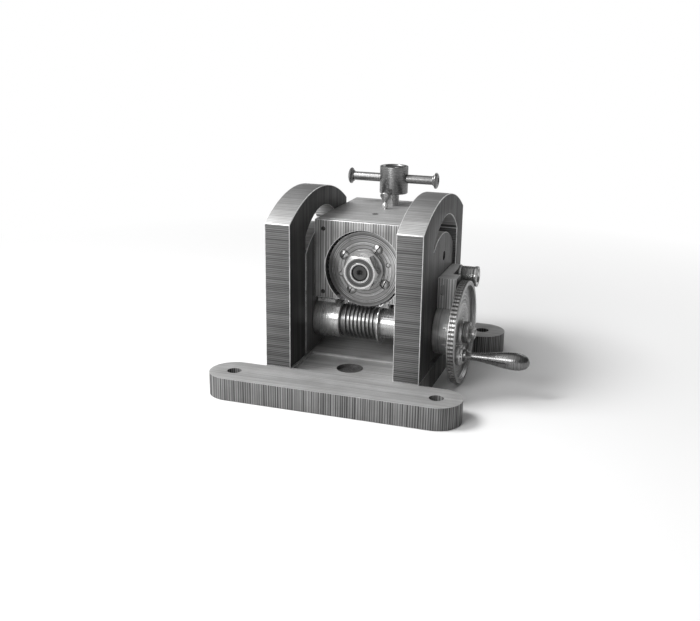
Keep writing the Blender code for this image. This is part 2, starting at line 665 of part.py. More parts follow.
def make_head_block():
    block = box("head_block", (-HEAD_HALF, HEAD_FRONT, HEAD_BOTTOM),
                (HEAD_HALF, HEAD_BACK, HEAD_TOP), "planed")
    break_edges(block, SMALL_EDGE)
    front = (0, HEAD_FRONT - OVERCUT, SPINDLE_Z)
    reach = -HEAD_FRONT + OVERCUT
    hollow_back = WHEEL_BACK + WHEEL_HOLLOW_SPARE
    cut(block, rod("wheel_hollow", front, BACK, reach + hollow_back,
                   WHEEL_TIP_RADIUS + WHEEL_HOLLOW_PLAY, 40))
    cut(block, rod("bush_flange_seat", front, BACK, reach + BUSH_FRONT + BUSH_FLANGE + SEAT,
                   BUSH_FLANGE_RADIUS + SEAT, 24))
    cut(block, rod("bush_seat", front, BACK, reach + SPINDLE_BACK + BUSH_SEAT_SPARE, BUSH_RADIUS + SEAT, 24))
    cut(block, rod("screw_way", (0, SCREW_Y, 0), UP, 2 * HEAD_TOP, SCREW_RADIUS + RUN, 16))
    cut(block, rod("lock_way", (LOCK_X, LOCK_Y, SPINDLE_Z), UP, HEAD_TOP, LOCK_RADIUS + THREAD_PLAY, 10))
    cut(block, rod("oil_way", (OIL_HOLE_X, OIL_HOLE_Y, SPINDLE_Z), UP, HEAD_TOP, OIL_HOLE_RADIUS, 10))
    cut(block, rod("oil_mouth", (OIL_HOLE_X, OIL_HOLE_Y, HEAD_TOP - OIL_MOUTH_DEPTH), UP,
                   2 * OIL_MOUTH_DEPTH, OIL_MOUTH_RADIUS, 14))
    for i, (x, z) in enumerate(plate_screw_places()):
        cut(block, rod(f"plate_tap_{i}", (x, HEAD_FRONT - OVERCUT, z), BACK, PLATE_SCREW_LENGTH,
                       PLATE_SCREW_RADIUS + SEAT, 8))
    for side in (-1, 1):
        for j, (y, z) in enumerate(SLIDE_SCREW_PLACES):
            start = (side * (HEAD_HALF - SLIDE_SCREW_REACH - TAP_SPARE), y, z)
            cut(block, rod(f"slide_tap_{side}_{j}", start, RIGHT * side, SLIDE_SCREW_REACH + OVERCUT,
                           SLIDE_SCREW_RADIUS + SEAT, 10))
    return block


def make_front_plate():
    half_angle = math.degrees(math.acos((SPINDLE_Z - HEAD_BOTTOM) / PLATE_OPENING_RADIUS))
    opening = arc(0, SPINDLE_Z, PLATE_OPENING_RADIUS, 270 - half_angle, half_angle - 90, 32)
    outline = ([(-HEAD_HALF, HEAD_BOTTOM)] + opening
               + [(HEAD_HALF, HEAD_BOTTOM), (HEAD_HALF, HEAD_TOP), (-HEAD_HALF, HEAD_TOP)])
    cover = plate("front_plate", [outline], "XZ", -PLATE_BACK, -PLATE_FRONT, "planed")
    break_edges(cover, FINE_EDGE)
    for i, (x, z) in enumerate(plate_screw_places()):
        cut(cover, rod(f"plate_way_{i}", (x, PLATE_FRONT - OVERCUT, z), BACK, 2 * PLATE_THICKNESS,
                       PLATE_SCREW_RADIUS + SEAT, 8))
        cut(cover, rod(f"plate_head_seat_{i}", (x, PLATE_FRONT - OVERCUT, z), BACK,
                       OVERCUT + PLATE_SCREW_SINK, PLATE_SCREW_HEAD_RADIUS + SEAT, 12))
    return cover


def make_plate_screws():
    form = screw_form("plate_screw_form", PLATE_SCREW_RADIUS, PLATE_SCREW_LENGTH - PLATE_SCREW_SHORT,
                      PLATE_SCREW_HEAD_RADIUS, PLATE_SCREW_HEAD, slotted=False, segments=12)
    seat = PLATE_FRONT + PLATE_SCREW_SINK - SEAT
    places = [frame_along((x, seat, z), BACK) for x, z in plate_screw_places()]
    return repeat(numbered("plate_screw", places), form, places, "dark")


def slide_outline():
    half = WINDOW_WIDTH / 2 - SLIDE_PLAY
    top = arch(WINDOW_Y, half, SLIDE_TOP, WINDOW_RISE - SLIDE_PLAY, 16)
    return [(WINDOW_Y - half, SLIDE_BOTTOM)] + top + [(WINDOW_Y + half, SLIDE_BOTTOM)]


def make_slide(name, side):
    low, high = sorted((side * SLIDE_INNER, side * SLIDE_OUTER))
    slide = plate(name, [slide_outline()], "YZ", low, high, "casting")
    break_edges(slide, FINE_EDGE)
    outward = RIGHT * side
    for j, (y, z) in enumerate(SLIDE_SCREW_PLACES):
        way = rod(f"{name}_way_{j}", (side * (SLIDE_INNER - OVERCUT), y, z), outward,
                  2 * CHEEK_THICKNESS, SLIDE_SCREW_RADIUS + SEAT, 10)
        seat = rod(f"{name}_seat_{j}", (side * (SLIDE_OUTER - SLIDE_SCREW_HEAD - TAP_SPARE), y, z), outward,
                   2 * SLIDE_SCREW_HEAD, SLIDE_SCREW_HEAD_RADIUS + SEAT, 12)
        cut(slide, way, seat)
    if side > 0:
        cut(slide, rod("shaft_way", (SLIDE_INNER - OVERCUT, WORM_Y, WORM_Z), RIGHT, 2 * CHEEK_THICKNESS,
                       SHAFT_RADIUS + SHAFT_WAY_PLAY, 20))
        cut(slide, rod("clamp_tap", (SLIDE_OUTER - CLAMP_REACH + BRACKET_THICKNESS, CLAMP_Y, CLAMP_Z), RIGHT,
                       CLAMP_REACH, CLAMP_SHANK_RADIUS + THREAD_PLAY, 12))
        for i, (y, z) in enumerate(BRACKET_SCREW_PLACES):
            cut(slide, rod(f"bracket_tap_{i}", (SLIDE_OUTER - BRACKET_SCREW_REACH - TAP_SPARE, y, z), RIGHT,
                           2 * BRACKET_SCREW_REACH, BRACKET_SCREW_RADIUS + SEAT, 8))
    return slide


def make_slide_screws():
    seat = SLIDE_OUTER - SLIDE_SCREW_HEAD - TAP_SPARE + SEAT
    shank = seat - HEAD_HALF + SLIDE_SCREW_REACH
    form = screw_form("slide_screw_form", SLIDE_SCREW_RADIUS, shank, SLIDE_SCREW_HEAD_RADIUS,
                      SLIDE_SCREW_HEAD - TAP_SPARE, segments=12)
    places = [frame_along((side * seat, y, z), LEFT * side)
              for side in (-1, 1) for y, z in SLIDE_SCREW_PLACES]
    return repeat(numbered("slide_screw", places), form, places, "dark")


# ================================================================ head: worm bearings
def make_worm_bearing(name, side, boss_low, boss_high, boss_radius):
    outer = HEAD_HALF if side > 0 else -HEAD_HALF
    flange_low, flange_high = sorted((side * BEARING_FLANGE_INNER, outer))
    bearing = rod(name, (boss_low, WORM_Y, WORM_Z), RIGHT, boss_high - boss_low, boss_radius, 32, "casting")
    web_low = max(flange_low, boss_low)
    web_high = min(flange_high, boss_high)
    join(bearing,
         box(name + "_flange", (flange_low, BEARING_FLANGE_FRONT, BEARING_TOP - BEARING_FLANGE),
             (flange_high, BEARING_FLANGE_BACK, BEARING_TOP)),
         box(name + "_web", (web_low + EDGE_BREAK, WORM_Y - BEARING_WEB_HALF, WORM_Z),
             (web_high - EDGE_BREAK, WORM_Y + BEARING_WEB_HALF, BEARING_TOP - BEARING_FLANGE / 2)))
    if side > 0:
        join(bearing, rod("thrust_face", (boss_low, WORM_Y, WORM_Z), RIGHT, THRUST_THICKNESS,
                          THRUST_RADIUS, 40))
    cut(bearing, rod(name + "_relief", (0, CHEEK_FRONT, SPINDLE_Z), BACK, CHEEK_DEPTH,
                     WHEEL_TIP_RADIUS + WHEEL_RELIEF, 80))
    cut(bearing, rod(name + "_bore", (boss_low - OVERCUT, WORM_Y, WORM_Z), RIGHT,
                     boss_high - boss_low + 2 * OVERCUT, WORM_BUSH_RADIUS + SEAT, 24))
    return bearing


def make_worm_bush(name, low, high):
    return ring(name, (low, WORM_Y, WORM_Z), RIGHT, high - low, WORM_BUSH_RADIUS,
                SHAFT_RADIUS + RUN, 24, "bronze")


def make_bearing_bracket():
    bracket = box("bearing_bracket", (BRACKET_INNER, BRACKET_FRONT, BRACKET_BOTTOM),
                  (BRACKET_INNER + BRACKET_THICKNESS, BRACKET_BACK, BRACKET_TOP), "casting")
    join(bracket, box("bracket_nose", (BRACKET_INNER + SMALL_EDGE, BRACKET_FRONT - SEAT, WORM_Z),
                      (BRACKET_INNER + BRACKET_NOSE, BRACKET_FRONT + NOSE_DEPTH, BRACKET_TOP + SEAT)))
    cut(bracket, rod("drum_seat", (SLIDE_OUTER - OVERCUT, WORM_Y, WORM_Z), RIGHT, 2 * BRACKET_NOSE,
                     DRUM_RADIUS + SEAT, 36))
    slot_x = BRACKET_INNER + BRACKET_SLOT_WIDTH
    slot_top = BRACKET_TOP - BRACKET_SLOT_DROP
    cut(bracket, box("bracket_slot",
                     (slot_x, BRACKET_FRONT - BRACKET_SLOT_DEPTH, slot_top - BRACKET_SLOT_HEIGHT),
                     (slot_x + BRACKET_SLOT_WIDTH, BRACKET_FRONT + BRACKET_SLOT_DEPTH, slot_top)))
    cut(bracket, rod("clamp_way", (SLIDE_OUTER, CLAMP_Y, CLAMP_Z), RIGHT, 2 * BRACKET_NOSE,
                     CLAMP_SHANK_RADIUS + THREAD_PLAY, 12))
    for i, (y, z) in enumerate(BRACKET_SCREW_PLACES):
        cut(bracket, rod(f"bracket_way_{i}", (SLIDE_OUTER - OVERCUT, y, z), RIGHT, 2 * BRACKET_NOSE,
                         BRACKET_SCREW_RADIUS + SEAT, 8))
    return bracket


def make_bracket_screws():
    seat = BRACKET_INNER + BRACKET_THICKNESS + SEAT
    form = screw_form("bracket_screw_form", BRACKET_SCREW_RADIUS, BRACKET_THICKNESS + BRACKET_SCREW_REACH,
                      BRACKET_SCREW_HEAD_RADIUS, BRACKET_SCREW_HEAD, segments=12)
    places = [frame_along((seat, y, z), LEFT) for y, z in BRACKET_SCREW_PLACES]
    return repeat(numbered("bracket_screw", places), form, places, "dark")


def make_index_drum():
    return ring("index_drum", (BRACKET_INNER, WORM_Y, WORM_Z), RIGHT, DRUM_LENGTH, DRUM_RADIUS,
                SHAFT_RADIUS + RUN, 40, "planed")


# ================================================================ spindle and worm wheel
def make_spindle_bushes():
    bore = JOURNAL_RADIUS + RUN
    flange = [(BUSH_RADIUS, FRONT_BUSH_LENGTH), (BUSH_RADIUS, BUSH_FLANGE), (BUSH_FLANGE_RADIUS, BUSH_FLANGE),
              (BUSH_FLANGE_RADIUS, 0), (bore, 0), (bore, FRONT_BUSH_LENGTH)]
    front = turned("spindle_front_bush", flange, (0, BUSH_FRONT, SPINDLE_Z), BACK, 24, "bronze")
    rear = ring("spindle_rear_bush", (0, REAR_BUSH_FRONT, SPINDLE_Z), BACK, REAR_BUSH_LENGTH, BUSH_RADIUS,
                bore, 24, "bronze")
    cut(rear, rod("lock_bush_way", (LOCK_X, LOCK_Y, SPINDLE_Z), UP, 2 * BUSH_RADIUS,
                  LOCK_RADIUS + THREAD_PLAY, 10))
    return front, rear


def make_spindle():
    """Turned about its own axis; heights are counted from its front end towards the back."""
    front = NUT_FRONT + SPINDLE_END_DEPTH
    seat = WASHER_FRONT + WASHER_THICKNESS / 2 - front
    flange_low = WHEEL_BACK + SEAT - front
    flange_high = SPINDLE_FLANGE_BACK - front
    length = SPINDLE_BACK - front
    c = TURNED_EDGE
    profile = [(0, length), (JOURNAL_RADIUS - c, length), (JOURNAL_RADIUS, length - c),
               (JOURNAL_RADIUS, flange_high), (SPINDLE_FLANGE_RADIUS, flange_high),
               (SPINDLE_FLANGE_RADIUS, flange_low), (SPINDLE_SEAT_RADIUS, flange_low),
               (SPINDLE_SEAT_RADIUS, seat), (SPINDLE_THREAD_RADIUS, seat), (SPINDLE_THREAD_RADIUS, c),
               (SPINDLE_THREAD_RADIUS - c, 0), (0, 0)]
    spindle = turned("spindle", profile, (0, front, SPINDLE_Z), BACK, 24, "bright", closed=False)
    cut(spindle, rod("spindle_centre", (0, front, SPINDLE_Z), BACK, CENTRE_DEPTH,
                     CENTRE_RADIUS, 8, end_radius=CENTRE_RADIUS / 6))
    return spindle


def tooth_outline():
    """The worm wheel's teeth, with one tooth centred straight below the axis."""
    half_pitch_line = (THREAD_PITCH / 2 - BACKLASH) / 2
    lean = math.tan(PRESSURE_ANGLE)
    half_tip = half_pitch_line - TOOTH_ADDENDUM * MODULE * lean
    half_root = half_pitch_line + TOOTH_DEDENDUM * MODULE * lean
    points = []
    for tooth in range(WHEEL_TEETH):
        middle = math.radians(-90) + 2 * math.pi * tooth / WHEEL_TEETH
        for radius, offset in ((WHEEL_ROOT_RADIUS, -half_root), (WHEEL_TIP_RADIUS, -half_tip),
                               (WHEEL_TIP_RADIUS, half_tip), (WHEEL_ROOT_RADIUS, half_root)):
            angle = middle + offset / radius
            points.append((radius * math.cos(angle), SPINDLE_Z + radius * math.sin(angle)))
    return points


def make_worm_wheel():
    bore = circle(0, SPINDLE_Z, SPINDLE_SEAT_RADIUS + SEAT, 24)
    wheel = plate("worm_wheel", [tooth_outline(), bore], "XZ", -WHEEL_BACK, -WHEEL_FRONT, "bronze")
    for i, angle in enumerate(CAP_SCREW_ANGLES):
        x, z = polar(0, SPINDLE_Z, CAP_PITCH_RADIUS, angle)
        cut(wheel, rod(f"wheel_tap_{i}", (x, WHEEL_FRONT - OVERCUT, z), BACK, WHEEL_WIDTH + TAP_SPARE,
                       CAP_SCREW_RADIUS + SEAT, 8))
    for i, angle in enumerate(CAP_DOWEL_ANGLES):
        x, z = polar(0, SPINDLE_Z, CAP_PITCH_RADIUS, angle)
        cut(wheel, rod(f"wheel_dowel_way_{i}", (x, WHEEL_FRONT - OVERCUT, z), BACK,
                       WHEEL_WIDTH / 2 + OVERCUT + TAP_SPARE, CAP_DOWEL_RADIUS + SEAT, 8))
    return wheel


def make_wheel_cap():
    cap = ring("wheel_cap", (0, CAP_BACK, SPINDLE_Z), FRONT, CAP_THICKNESS, CAP_RADIUS,
               SPINDLE_SEAT_RADIUS + SEAT, 40, "bright")
    for i, angle in enumerate(CAP_SCREW_ANGLES + CAP_DOWEL_ANGLES):
        x, z = polar(0, SPINDLE_Z, CAP_PITCH_RADIUS, angle)
        radius = CAP_SCREW_RADIUS if i < len(CAP_SCREW_ANGLES) else CAP_DOWEL_RADIUS
        cut(cap, rod(f"cap_way_{i}", (x, CAP_FRONT - OVERCUT, z), BACK,
                     CAP_THICKNESS + 2 * OVERCUT, radius + SEAT, 8))
    return cap


def make_cap_fixings():
    form = screw_form("cap_screw_form", CAP_SCREW_RADIUS, CAP_THICKNESS + WHEEL_WIDTH - CAP_SCREW_SHORT,
                      CAP_SCREW_HEAD_RADIUS, CAP_SCREW_HEAD, turn=35, segments=14)
    places = [frame_along((*polar(0, SPINDLE_Z, CAP_PITCH_RADIUS, angle), 0), BACK)
              for angle in CAP_SCREW_ANGLES]
    for place, angle in zip(places, CAP_SCREW_ANGLES):
        x, z = polar(0, SPINDLE_Z, CAP_PITCH_RADIUS, angle)
        place.translation = (x, CAP_FRONT - SEAT, z)
    screws = repeat(numbered("cap_screw", places), form, places, "bright")
    dowel = rod("dowel_form", (0, 0, 0), UP, CAP_THICKNESS + WHEEL_WIDTH / 2, CAP_DOWEL_RADIUS, 8, "dark")
    places = []
    for angle in CAP_DOWEL_ANGLES:
        x, z = polar(0, SPINDLE_Z, CAP_PITCH_RADIUS, angle)
        places.append(frame_along((x, CAP_FRONT - SEAT, z), BACK))
    return screws + repeat(numbered("cap_dowel", places), dowel, places, "dark")


def make_spindle_nut():
    bore = SPINDLE_THREAD_RADIUS + THREAD_PLAY
    washer = ring("spindle_washer", (0, CAP_FRONT - SEAT, SPINDLE_Z), FRONT, WASHER_THICKNESS, WASHER_RADIUS,
                  SPINDLE_SEAT_RADIUS + SEAT, 36, "bright")
    corner = NUT_FLATS / 2 / math.cos(math.radians(30))
    outline = circle(0, SPINDLE_Z, corner, 6)
    nut = plate("spindle_nut", [outline, circle(0, SPINDLE_Z, bore, 24)], "XZ",
                -(WASHER_FRONT - SEAT), -NUT_FRONT, "bright")
    face_radius = NUT_FLATS / 2 - TURNED_EDGE
    crown = rod("nut_crown", (0, NUT_FRONT, SPINDLE_Z), BACK, NUT_THICKNESS, face_radius, 36,
                end_radius=face_radius + NUT_THICKNESS * NUT_CROWN_SLOPE)
    meet = nut.modifiers.new("chamfered_corners", "BOOLEAN")
    meet.operation = "INTERSECT"
    meet.object = crown
    return washer, nut


# ================================================================ worm shaft and handwheel
def make_worm():
    """The core is one turned sleeve; the thread is a ridge wound round it by a formula."""
    length = WORM_RIGHT - WORM_LEFT
    bore = SHAFT_RADIUS + SEAT
    worm = ring("worm", (WORM_LEFT, WORM_Y, WORM_Z), RIGHT, length, WORM_ROOT_RADIUS, bore, 20, "bright")
    half_pitch_line = (THREAD_PITCH / 2 - BACKLASH) / 2
    lean = math.tan(PRESSURE_ANGLE)
    half_tip = half_pitch_line - TOOTH_ADDENDUM * MODULE * lean
    sink = THREAD_SINK
    half_root = half_pitch_line + (TOOTH_DEDENDUM * MODULE + sink) * lean
    steps = THREAD_STEPS
    first = -WORM_LEFT + THREAD_PITCH / 2
    turns_left = math.floor((first - half_root - THREAD_MARGIN) / THREAD_PITCH * steps)
    last = WORM_RIGHT - THREAD_PITCH / 2 - half_root - THREAD_MARGIN
    turns_right = math.floor(last / THREAD_PITCH * steps)
    work = bmesh.new()
    rows = []
    for i in range(-turns_left, turns_right + 1):
        angle = math.pi / 2 + 2 * math.pi * i / steps
        middle = THREAD_PITCH / 2 + THREAD_PITCH * i / steps
        to_end = min(i + turns_left, turns_right - i)
        fade = min(1.0, (to_end + 1) / (steps / 4))
        inner = WORM_ROOT_RADIUS - sink
        outer = inner + (WORM_TIP_RADIUS - inner) * fade
        row = []
        for radius, offset in ((inner, -half_root), (outer, -half_tip),
                               (outer, half_tip), (inner, half_root)):
            row.append(work.verts.new((middle + offset, WORM_Y + radius * math.cos(angle),
                                       WORM_Z + radius * math.sin(angle))))
        rows.append(row)
    for row, following in zip(rows, rows[1:]):
        for k in range(4):
            work.faces.new((row[k], row[(k + 1) % 4], following[(k + 1) % 4], following[k]))
    work.faces.new(rows[0][::-1])
    work.faces.new(rows[-1])
    bmesh.ops.recalc_face_normals(work, faces=work.faces)
    mesh = bpy.data.meshes.new("worm_thread")
    work.to_mesh(mesh)
    work.free()
    join(worm, add_object("worm_thread", mesh, None))
    return worm


def make_worm_shaft():
    length = SHAFT_RIGHT - SHAFT_LEFT
    seat = HUB_INNER - SEAT - SHAFT_LEFT
    thread = HUB_OUTER + SEAT - TURNED_EDGE - SHAFT_LEFT
    c = TURNED_EDGE
    profile = [(0, length), (SHAFT_THREAD_RADIUS - c, length), (SHAFT_THREAD_RADIUS, length - c),
               (SHAFT_THREAD_RADIUS, thread), (HUB_SEAT_RADIUS, thread), (HUB_SEAT_RADIUS, seat),
               (SHAFT_RADIUS, seat), (SHAFT_RADIUS, c), (SHAFT_RADIUS - c, 0), (0, 0)]
    return turned("worm_shaft", profile, (SHAFT_LEFT, WORM_Y, WORM_Z), RIGHT, 24, "bright", closed=False)


def make_handwheel():
    rim_in = HANDWHEEL_RADIUS - RIM_THICKNESS
    rim_out = RIM_WIDTH
    web_in = WEB_SET_IN
    web_out = WEB_OUTER - HANDWHEEL_X
    hub_in = HUB_INNER - HANDWHEEL_X
    hub_out = HUB_OUTER - HANDWHEEL_X
    bore = HUB_SEAT_RADIUS + SEAT
    web_edge = rim_in - DISH_SLOPE
    profile = [(HANDWHEEL_RADIUS, rim_out), (HANDWHEEL_RADIUS, 0), (rim_in, 0), (web_edge, web_in),
               (HUB_RADIUS, web_in), (HUB_RADIUS, hub_in), (bore, hub_in), (bore, hub_out),
               (HUB_RADIUS, hub_out), (HUB_RADIUS, web_out), (web_edge, web_out), (rim_in, rim_out)]
    wheel = turned("handwheel", profile, (HANDWHEEL_X, WORM_Y, WORM_Z), RIGHT, 40, "bright")
    cut(wheel, rod("crank_way", (HANDWHEEL_X - OVERCUT, CRANK_Y, CRANK_Z), RIGHT, 2 * RIM_WIDTH,
                   CRANK_SHANK_RADIUS + SEAT, 12))
    return wheel


def make_handwheel_nut():
    start = HUB_OUTER + SEAT
    return plate("handwheel_nut", [circle(WORM_Y, WORM_Z, SHAFT_NUT_RADIUS, 6),
                                   circle(WORM_Y, WORM_Z, SHAFT_THREAD_RADIUS + THREAD_PLAY, 16)],
                 "YZ", start, start + SHAFT_NUT_THICKNESS, "bright")


def make_crank_pin():
    """Riveted shank through the wheel, two collars, and the long pin inside the grip."""
    shank = CRANK_SHANK_RADIUS
    start = WEB_OUTER - WHEEL_WEB - SEAT
    collar = WHEEL_WEB + 2 * SEAT
    step = collar + CRANK_COLLAR
    pin = step + CRANK_STEP
    length = GRIP_START - start + CRANK_PIN_REACH
    c = TURNED_EDGE
    profile = [(0, length), (CRANK_PIN_RADIUS, length), (CRANK_PIN_RADIUS, pin), (CRANK_STEP_RADIUS, pin),
               (CRANK_STEP_RADIUS, step), (CRANK_COLLAR_RADIUS - c, step), (CRANK_COLLAR_RADIUS, step - c),
               (CRANK_COLLAR_RADIUS, collar), (shank, collar), (shank, 0), (0, 0)]
    return turned("crank_pin", profile, (start, CRANK_Y, CRANK_Z), RIGHT, 24, "bright", closed=False)


def make_crank_grip():
    bore = CRANK_PIN_RADIUS + RUN
    outside = [(radius * MM, share * GRIP_LENGTH) for share, radius in GRIP_SHAPE]
    profile = ([(0, GRIP_LENGTH)] + outside[::-1]
               + [(bore, 0), (bore, CRANK_PIN_REACH + RUN), (0, CRANK_PIN_REACH + RUN)])
    return turned("crank_grip", profile, (GRIP_START, CRANK_Y, CRANK_Z), RIGHT, 24, "bright", closed=False)


# ================================================================ lift screw and tommy bar
def make_lift_screw():
    """Screw, then the stop collar under the head and the hub over it, both pinned to the screw."""
    top = LEVER_HUB_TOP - LEVER_HUB_DISH - SCREW_TOP_DROP
    screw = rod("lift_screw", (0, SCREW_Y, SCREW_END), UP, top - SCREW_END, SCREW_RADIUS, 24, "bright")
    collar_low = HEAD_BOTTOM - RUN - STOP_COLLAR
    collar = ring("stop_collar", (0, SCREW_Y, collar_low), UP, STOP_COLLAR, STOP_COLLAR_RADIUS,
                  SCREW_RADIUS + SEAT, 24, "bright")
    c = LEVER_HUB_EDGE
    hub_bore = SCREW_RADIUS + SEAT
    rim = LEVER_HUB_RADIUS - LEVER_HUB_RIM
    profile = [(LEVER_HUB_RADIUS - c, LEVER_HUB_HEIGHT), (LEVER_HUB_RADIUS, LEVER_HUB_HEIGHT - c),
               (LEVER_HUB_RADIUS, c), (LEVER_HUB_RADIUS - c, 0), (hub_bore, 0),
               (hub_bore, LEVER_HUB_HEIGHT - LEVER_HUB_DISH), (rim, LEVER_HUB_HEIGHT - LEVER_HUB_DISH / 3),
               (rim, LEVER_HUB_HEIGHT)]
    hub = turned("lever_hub", profile, (0, SCREW_Y, LEVER_HUB_BOTTOM), UP, 24, "bright")
    bar_way = rod("bar_way", (-2 * LEVER_HUB_RADIUS, SCREW_Y, BAR_Z), RIGHT, 4 * LEVER_HUB_RADIUS,
                  BAR_RADIUS + RUN, 16)
    cut(hub, bar_way)
    cut(screw, bar_way)
    hub_pin_z = LEVER_HUB_BOTTOM + HUB_PIN_HEIGHT
    collar_pin_z = collar_low + STOP_COLLAR / 2
    hub_pin = rod("hub_pin", (0, SCREW_Y - LEVER_HUB_RADIUS + PIN_SHORT, hub_pin_z), BACK,
                  2 * (LEVER_HUB_RADIUS - PIN_SHORT), PIN_RADIUS, 8, "dark")
    collar_pin = rod("collar_pin", (0, SCREW_Y - STOP_COLLAR_RADIUS + PIN_SHORT, collar_pin_z), BACK,
                     2 * (STOP_COLLAR_RADIUS - PIN_SHORT), PIN_RADIUS, 8, "dark")
    for piece, z in ((hub, hub_pin_z), (collar, collar_pin_z)):
        way = rod(piece.name + "_pin_way", (0, SCREW_Y - 2 * LEVER_HUB_RADIUS, z), BACK, 4 * LEVER_HUB_RADIUS,
                  PIN_RADIUS + SEAT, 8)
        cut(piece, way)
        cut(screw, way)
    return screw, collar, hub, hub_pin, collar_pin


def make_tommy_bar():
    half = BAR_LENGTH / 2
    tenon = BAR_RADIUS - BAR_SHOULDER
    end = half - PIN_SHORT
    profile = [(0, end), (tenon, end), (tenon, half - KNOB_THICKNESS - SEAT),
               (BAR_RADIUS, half - KNOB_THICKNESS - SEAT)]
    mirrored = [(radius, -height) for radius, height in profile[::-1]]
    bar = turned("tommy_bar", profile + mirrored, (BAR_SHIFT, SCREW_Y, BAR_Z), RIGHT, 20, "bright",
                 closed=False)
    bore = tenon + SEAT
    edge = KNOB_RADIUS - KNOB_EDGE
    round_off = [(KNOB_RADIUS - KNOB_CROWN, KNOB_THICKNESS), (edge, KNOB_THICKNESS - KNOB_EDGE_DEPTH),
                 (KNOB_RADIUS, KNOB_THICKNESS / 2), (edge, KNOB_EDGE_DEPTH),
                 (KNOB_RADIUS - KNOB_NECK, 0), (bore, 0), (bore, KNOB_THICKNESS)]
    form = turned("knob_form", round_off, (0, 0, 0), UP, 20)
    places = [frame_along((BAR_SHIFT + side * (half - KNOB_THICKNESS), SCREW_Y, BAR_Z), RIGHT * side)
              for side in (-1, 1)]
    return [bar] + repeat(["left_tommy_knob", "right_tommy_knob"], form, places, "bright")


# ================================================================ lock screw and clamp screw
def make_lock_screw():
    bottom = SPINDLE_Z + JOURNAL_RADIUS + RUN
    ball = HEAD_TOP + SEAT + LOCK_BALL_RADIUS * 0.8
    wing = ball + LOCK_BALL_RADIUS * 0.6
    screw = rod("lock_screw", (LOCK_X, LOCK_Y, bottom), UP, ball - bottom, LOCK_RADIUS, 12, "bright")
    low = HEAD_TOP + SEAT
    r = LOCK_BALL_RADIUS
    profile = [(0, 2 * r), (0.55 * r, 1.85 * r), (0.9 * r, 1.4 * r), (r, 0.9 * r), (0.85 * r, 0.35 * r),
               (0.6 * r, 0), (0, 0)]
    ball_piece = turned("lock_ball", profile, (LOCK_X, LOCK_Y, low), UP, 12, closed=False)
    half = LOCK_WING_WIDTH / 2
    lobe = wing + LOCK_WING_HEIGHT - half
    outline = ([(LOCK_X + LOCK_WING_NECK, wing)] + arc(LOCK_X, lobe, half, -20, 200, 12)
               + [(LOCK_X - LOCK_WING_NECK, wing)])
    wing_piece = plate("lock_wing", [outline], "XZ", -LOCK_Y - LOCK_WING_THICKNESS / 2,
                       -LOCK_Y + LOCK_WING_THICKNESS / 2)
    break_edges(wing_piece, EDGE_BREAK)
    join(screw, ball_piece, wing_piece)
    return screw


def make_clamp():
    face = BRACKET_INNER + BRACKET_THICKNESS + SEAT
    washer = ring("clamp_washer", (face, CLAMP_Y, CLAMP_Z), RIGHT, CLAMP_WASHER, CLAMP_WASHER_RADIUS,
                  CLAMP_SHANK_RADIUS + THREAD_PLAY, 24, "bright")
    knob_start = face + CLAMP_WASHER + SEAT
    start = SLIDE_OUTER - CLAMP_REACH + BRACKET_THICKNESS + TAP_SPARE
    body = knob_start - start
    rim_low = body + CLAMP_LENGTH - CLAMP_RIM
    top = body + CLAMP_LENGTH
    c = TURNED_EDGE
    profile = [(0, top), (CLAMP_RIM_RADIUS - c, top), (CLAMP_RIM_RADIUS, top - c),
               (CLAMP_RIM_RADIUS, rim_low + c),
               (CLAMP_RIM_RADIUS - c, rim_low), (CLAMP_BODY_RADIUS, rim_low), (CLAMP_BODY_RADIUS, body),
               (CLAMP_SHANK_RADIUS, body), (CLAMP_SHANK_RADIUS, 0), (0, 0)]
    knob = turned("clamp_knob", profile, (start, CLAMP_Y, CLAMP_Z), RIGHT, 24, "bright", closed=False)
    return washer, knob


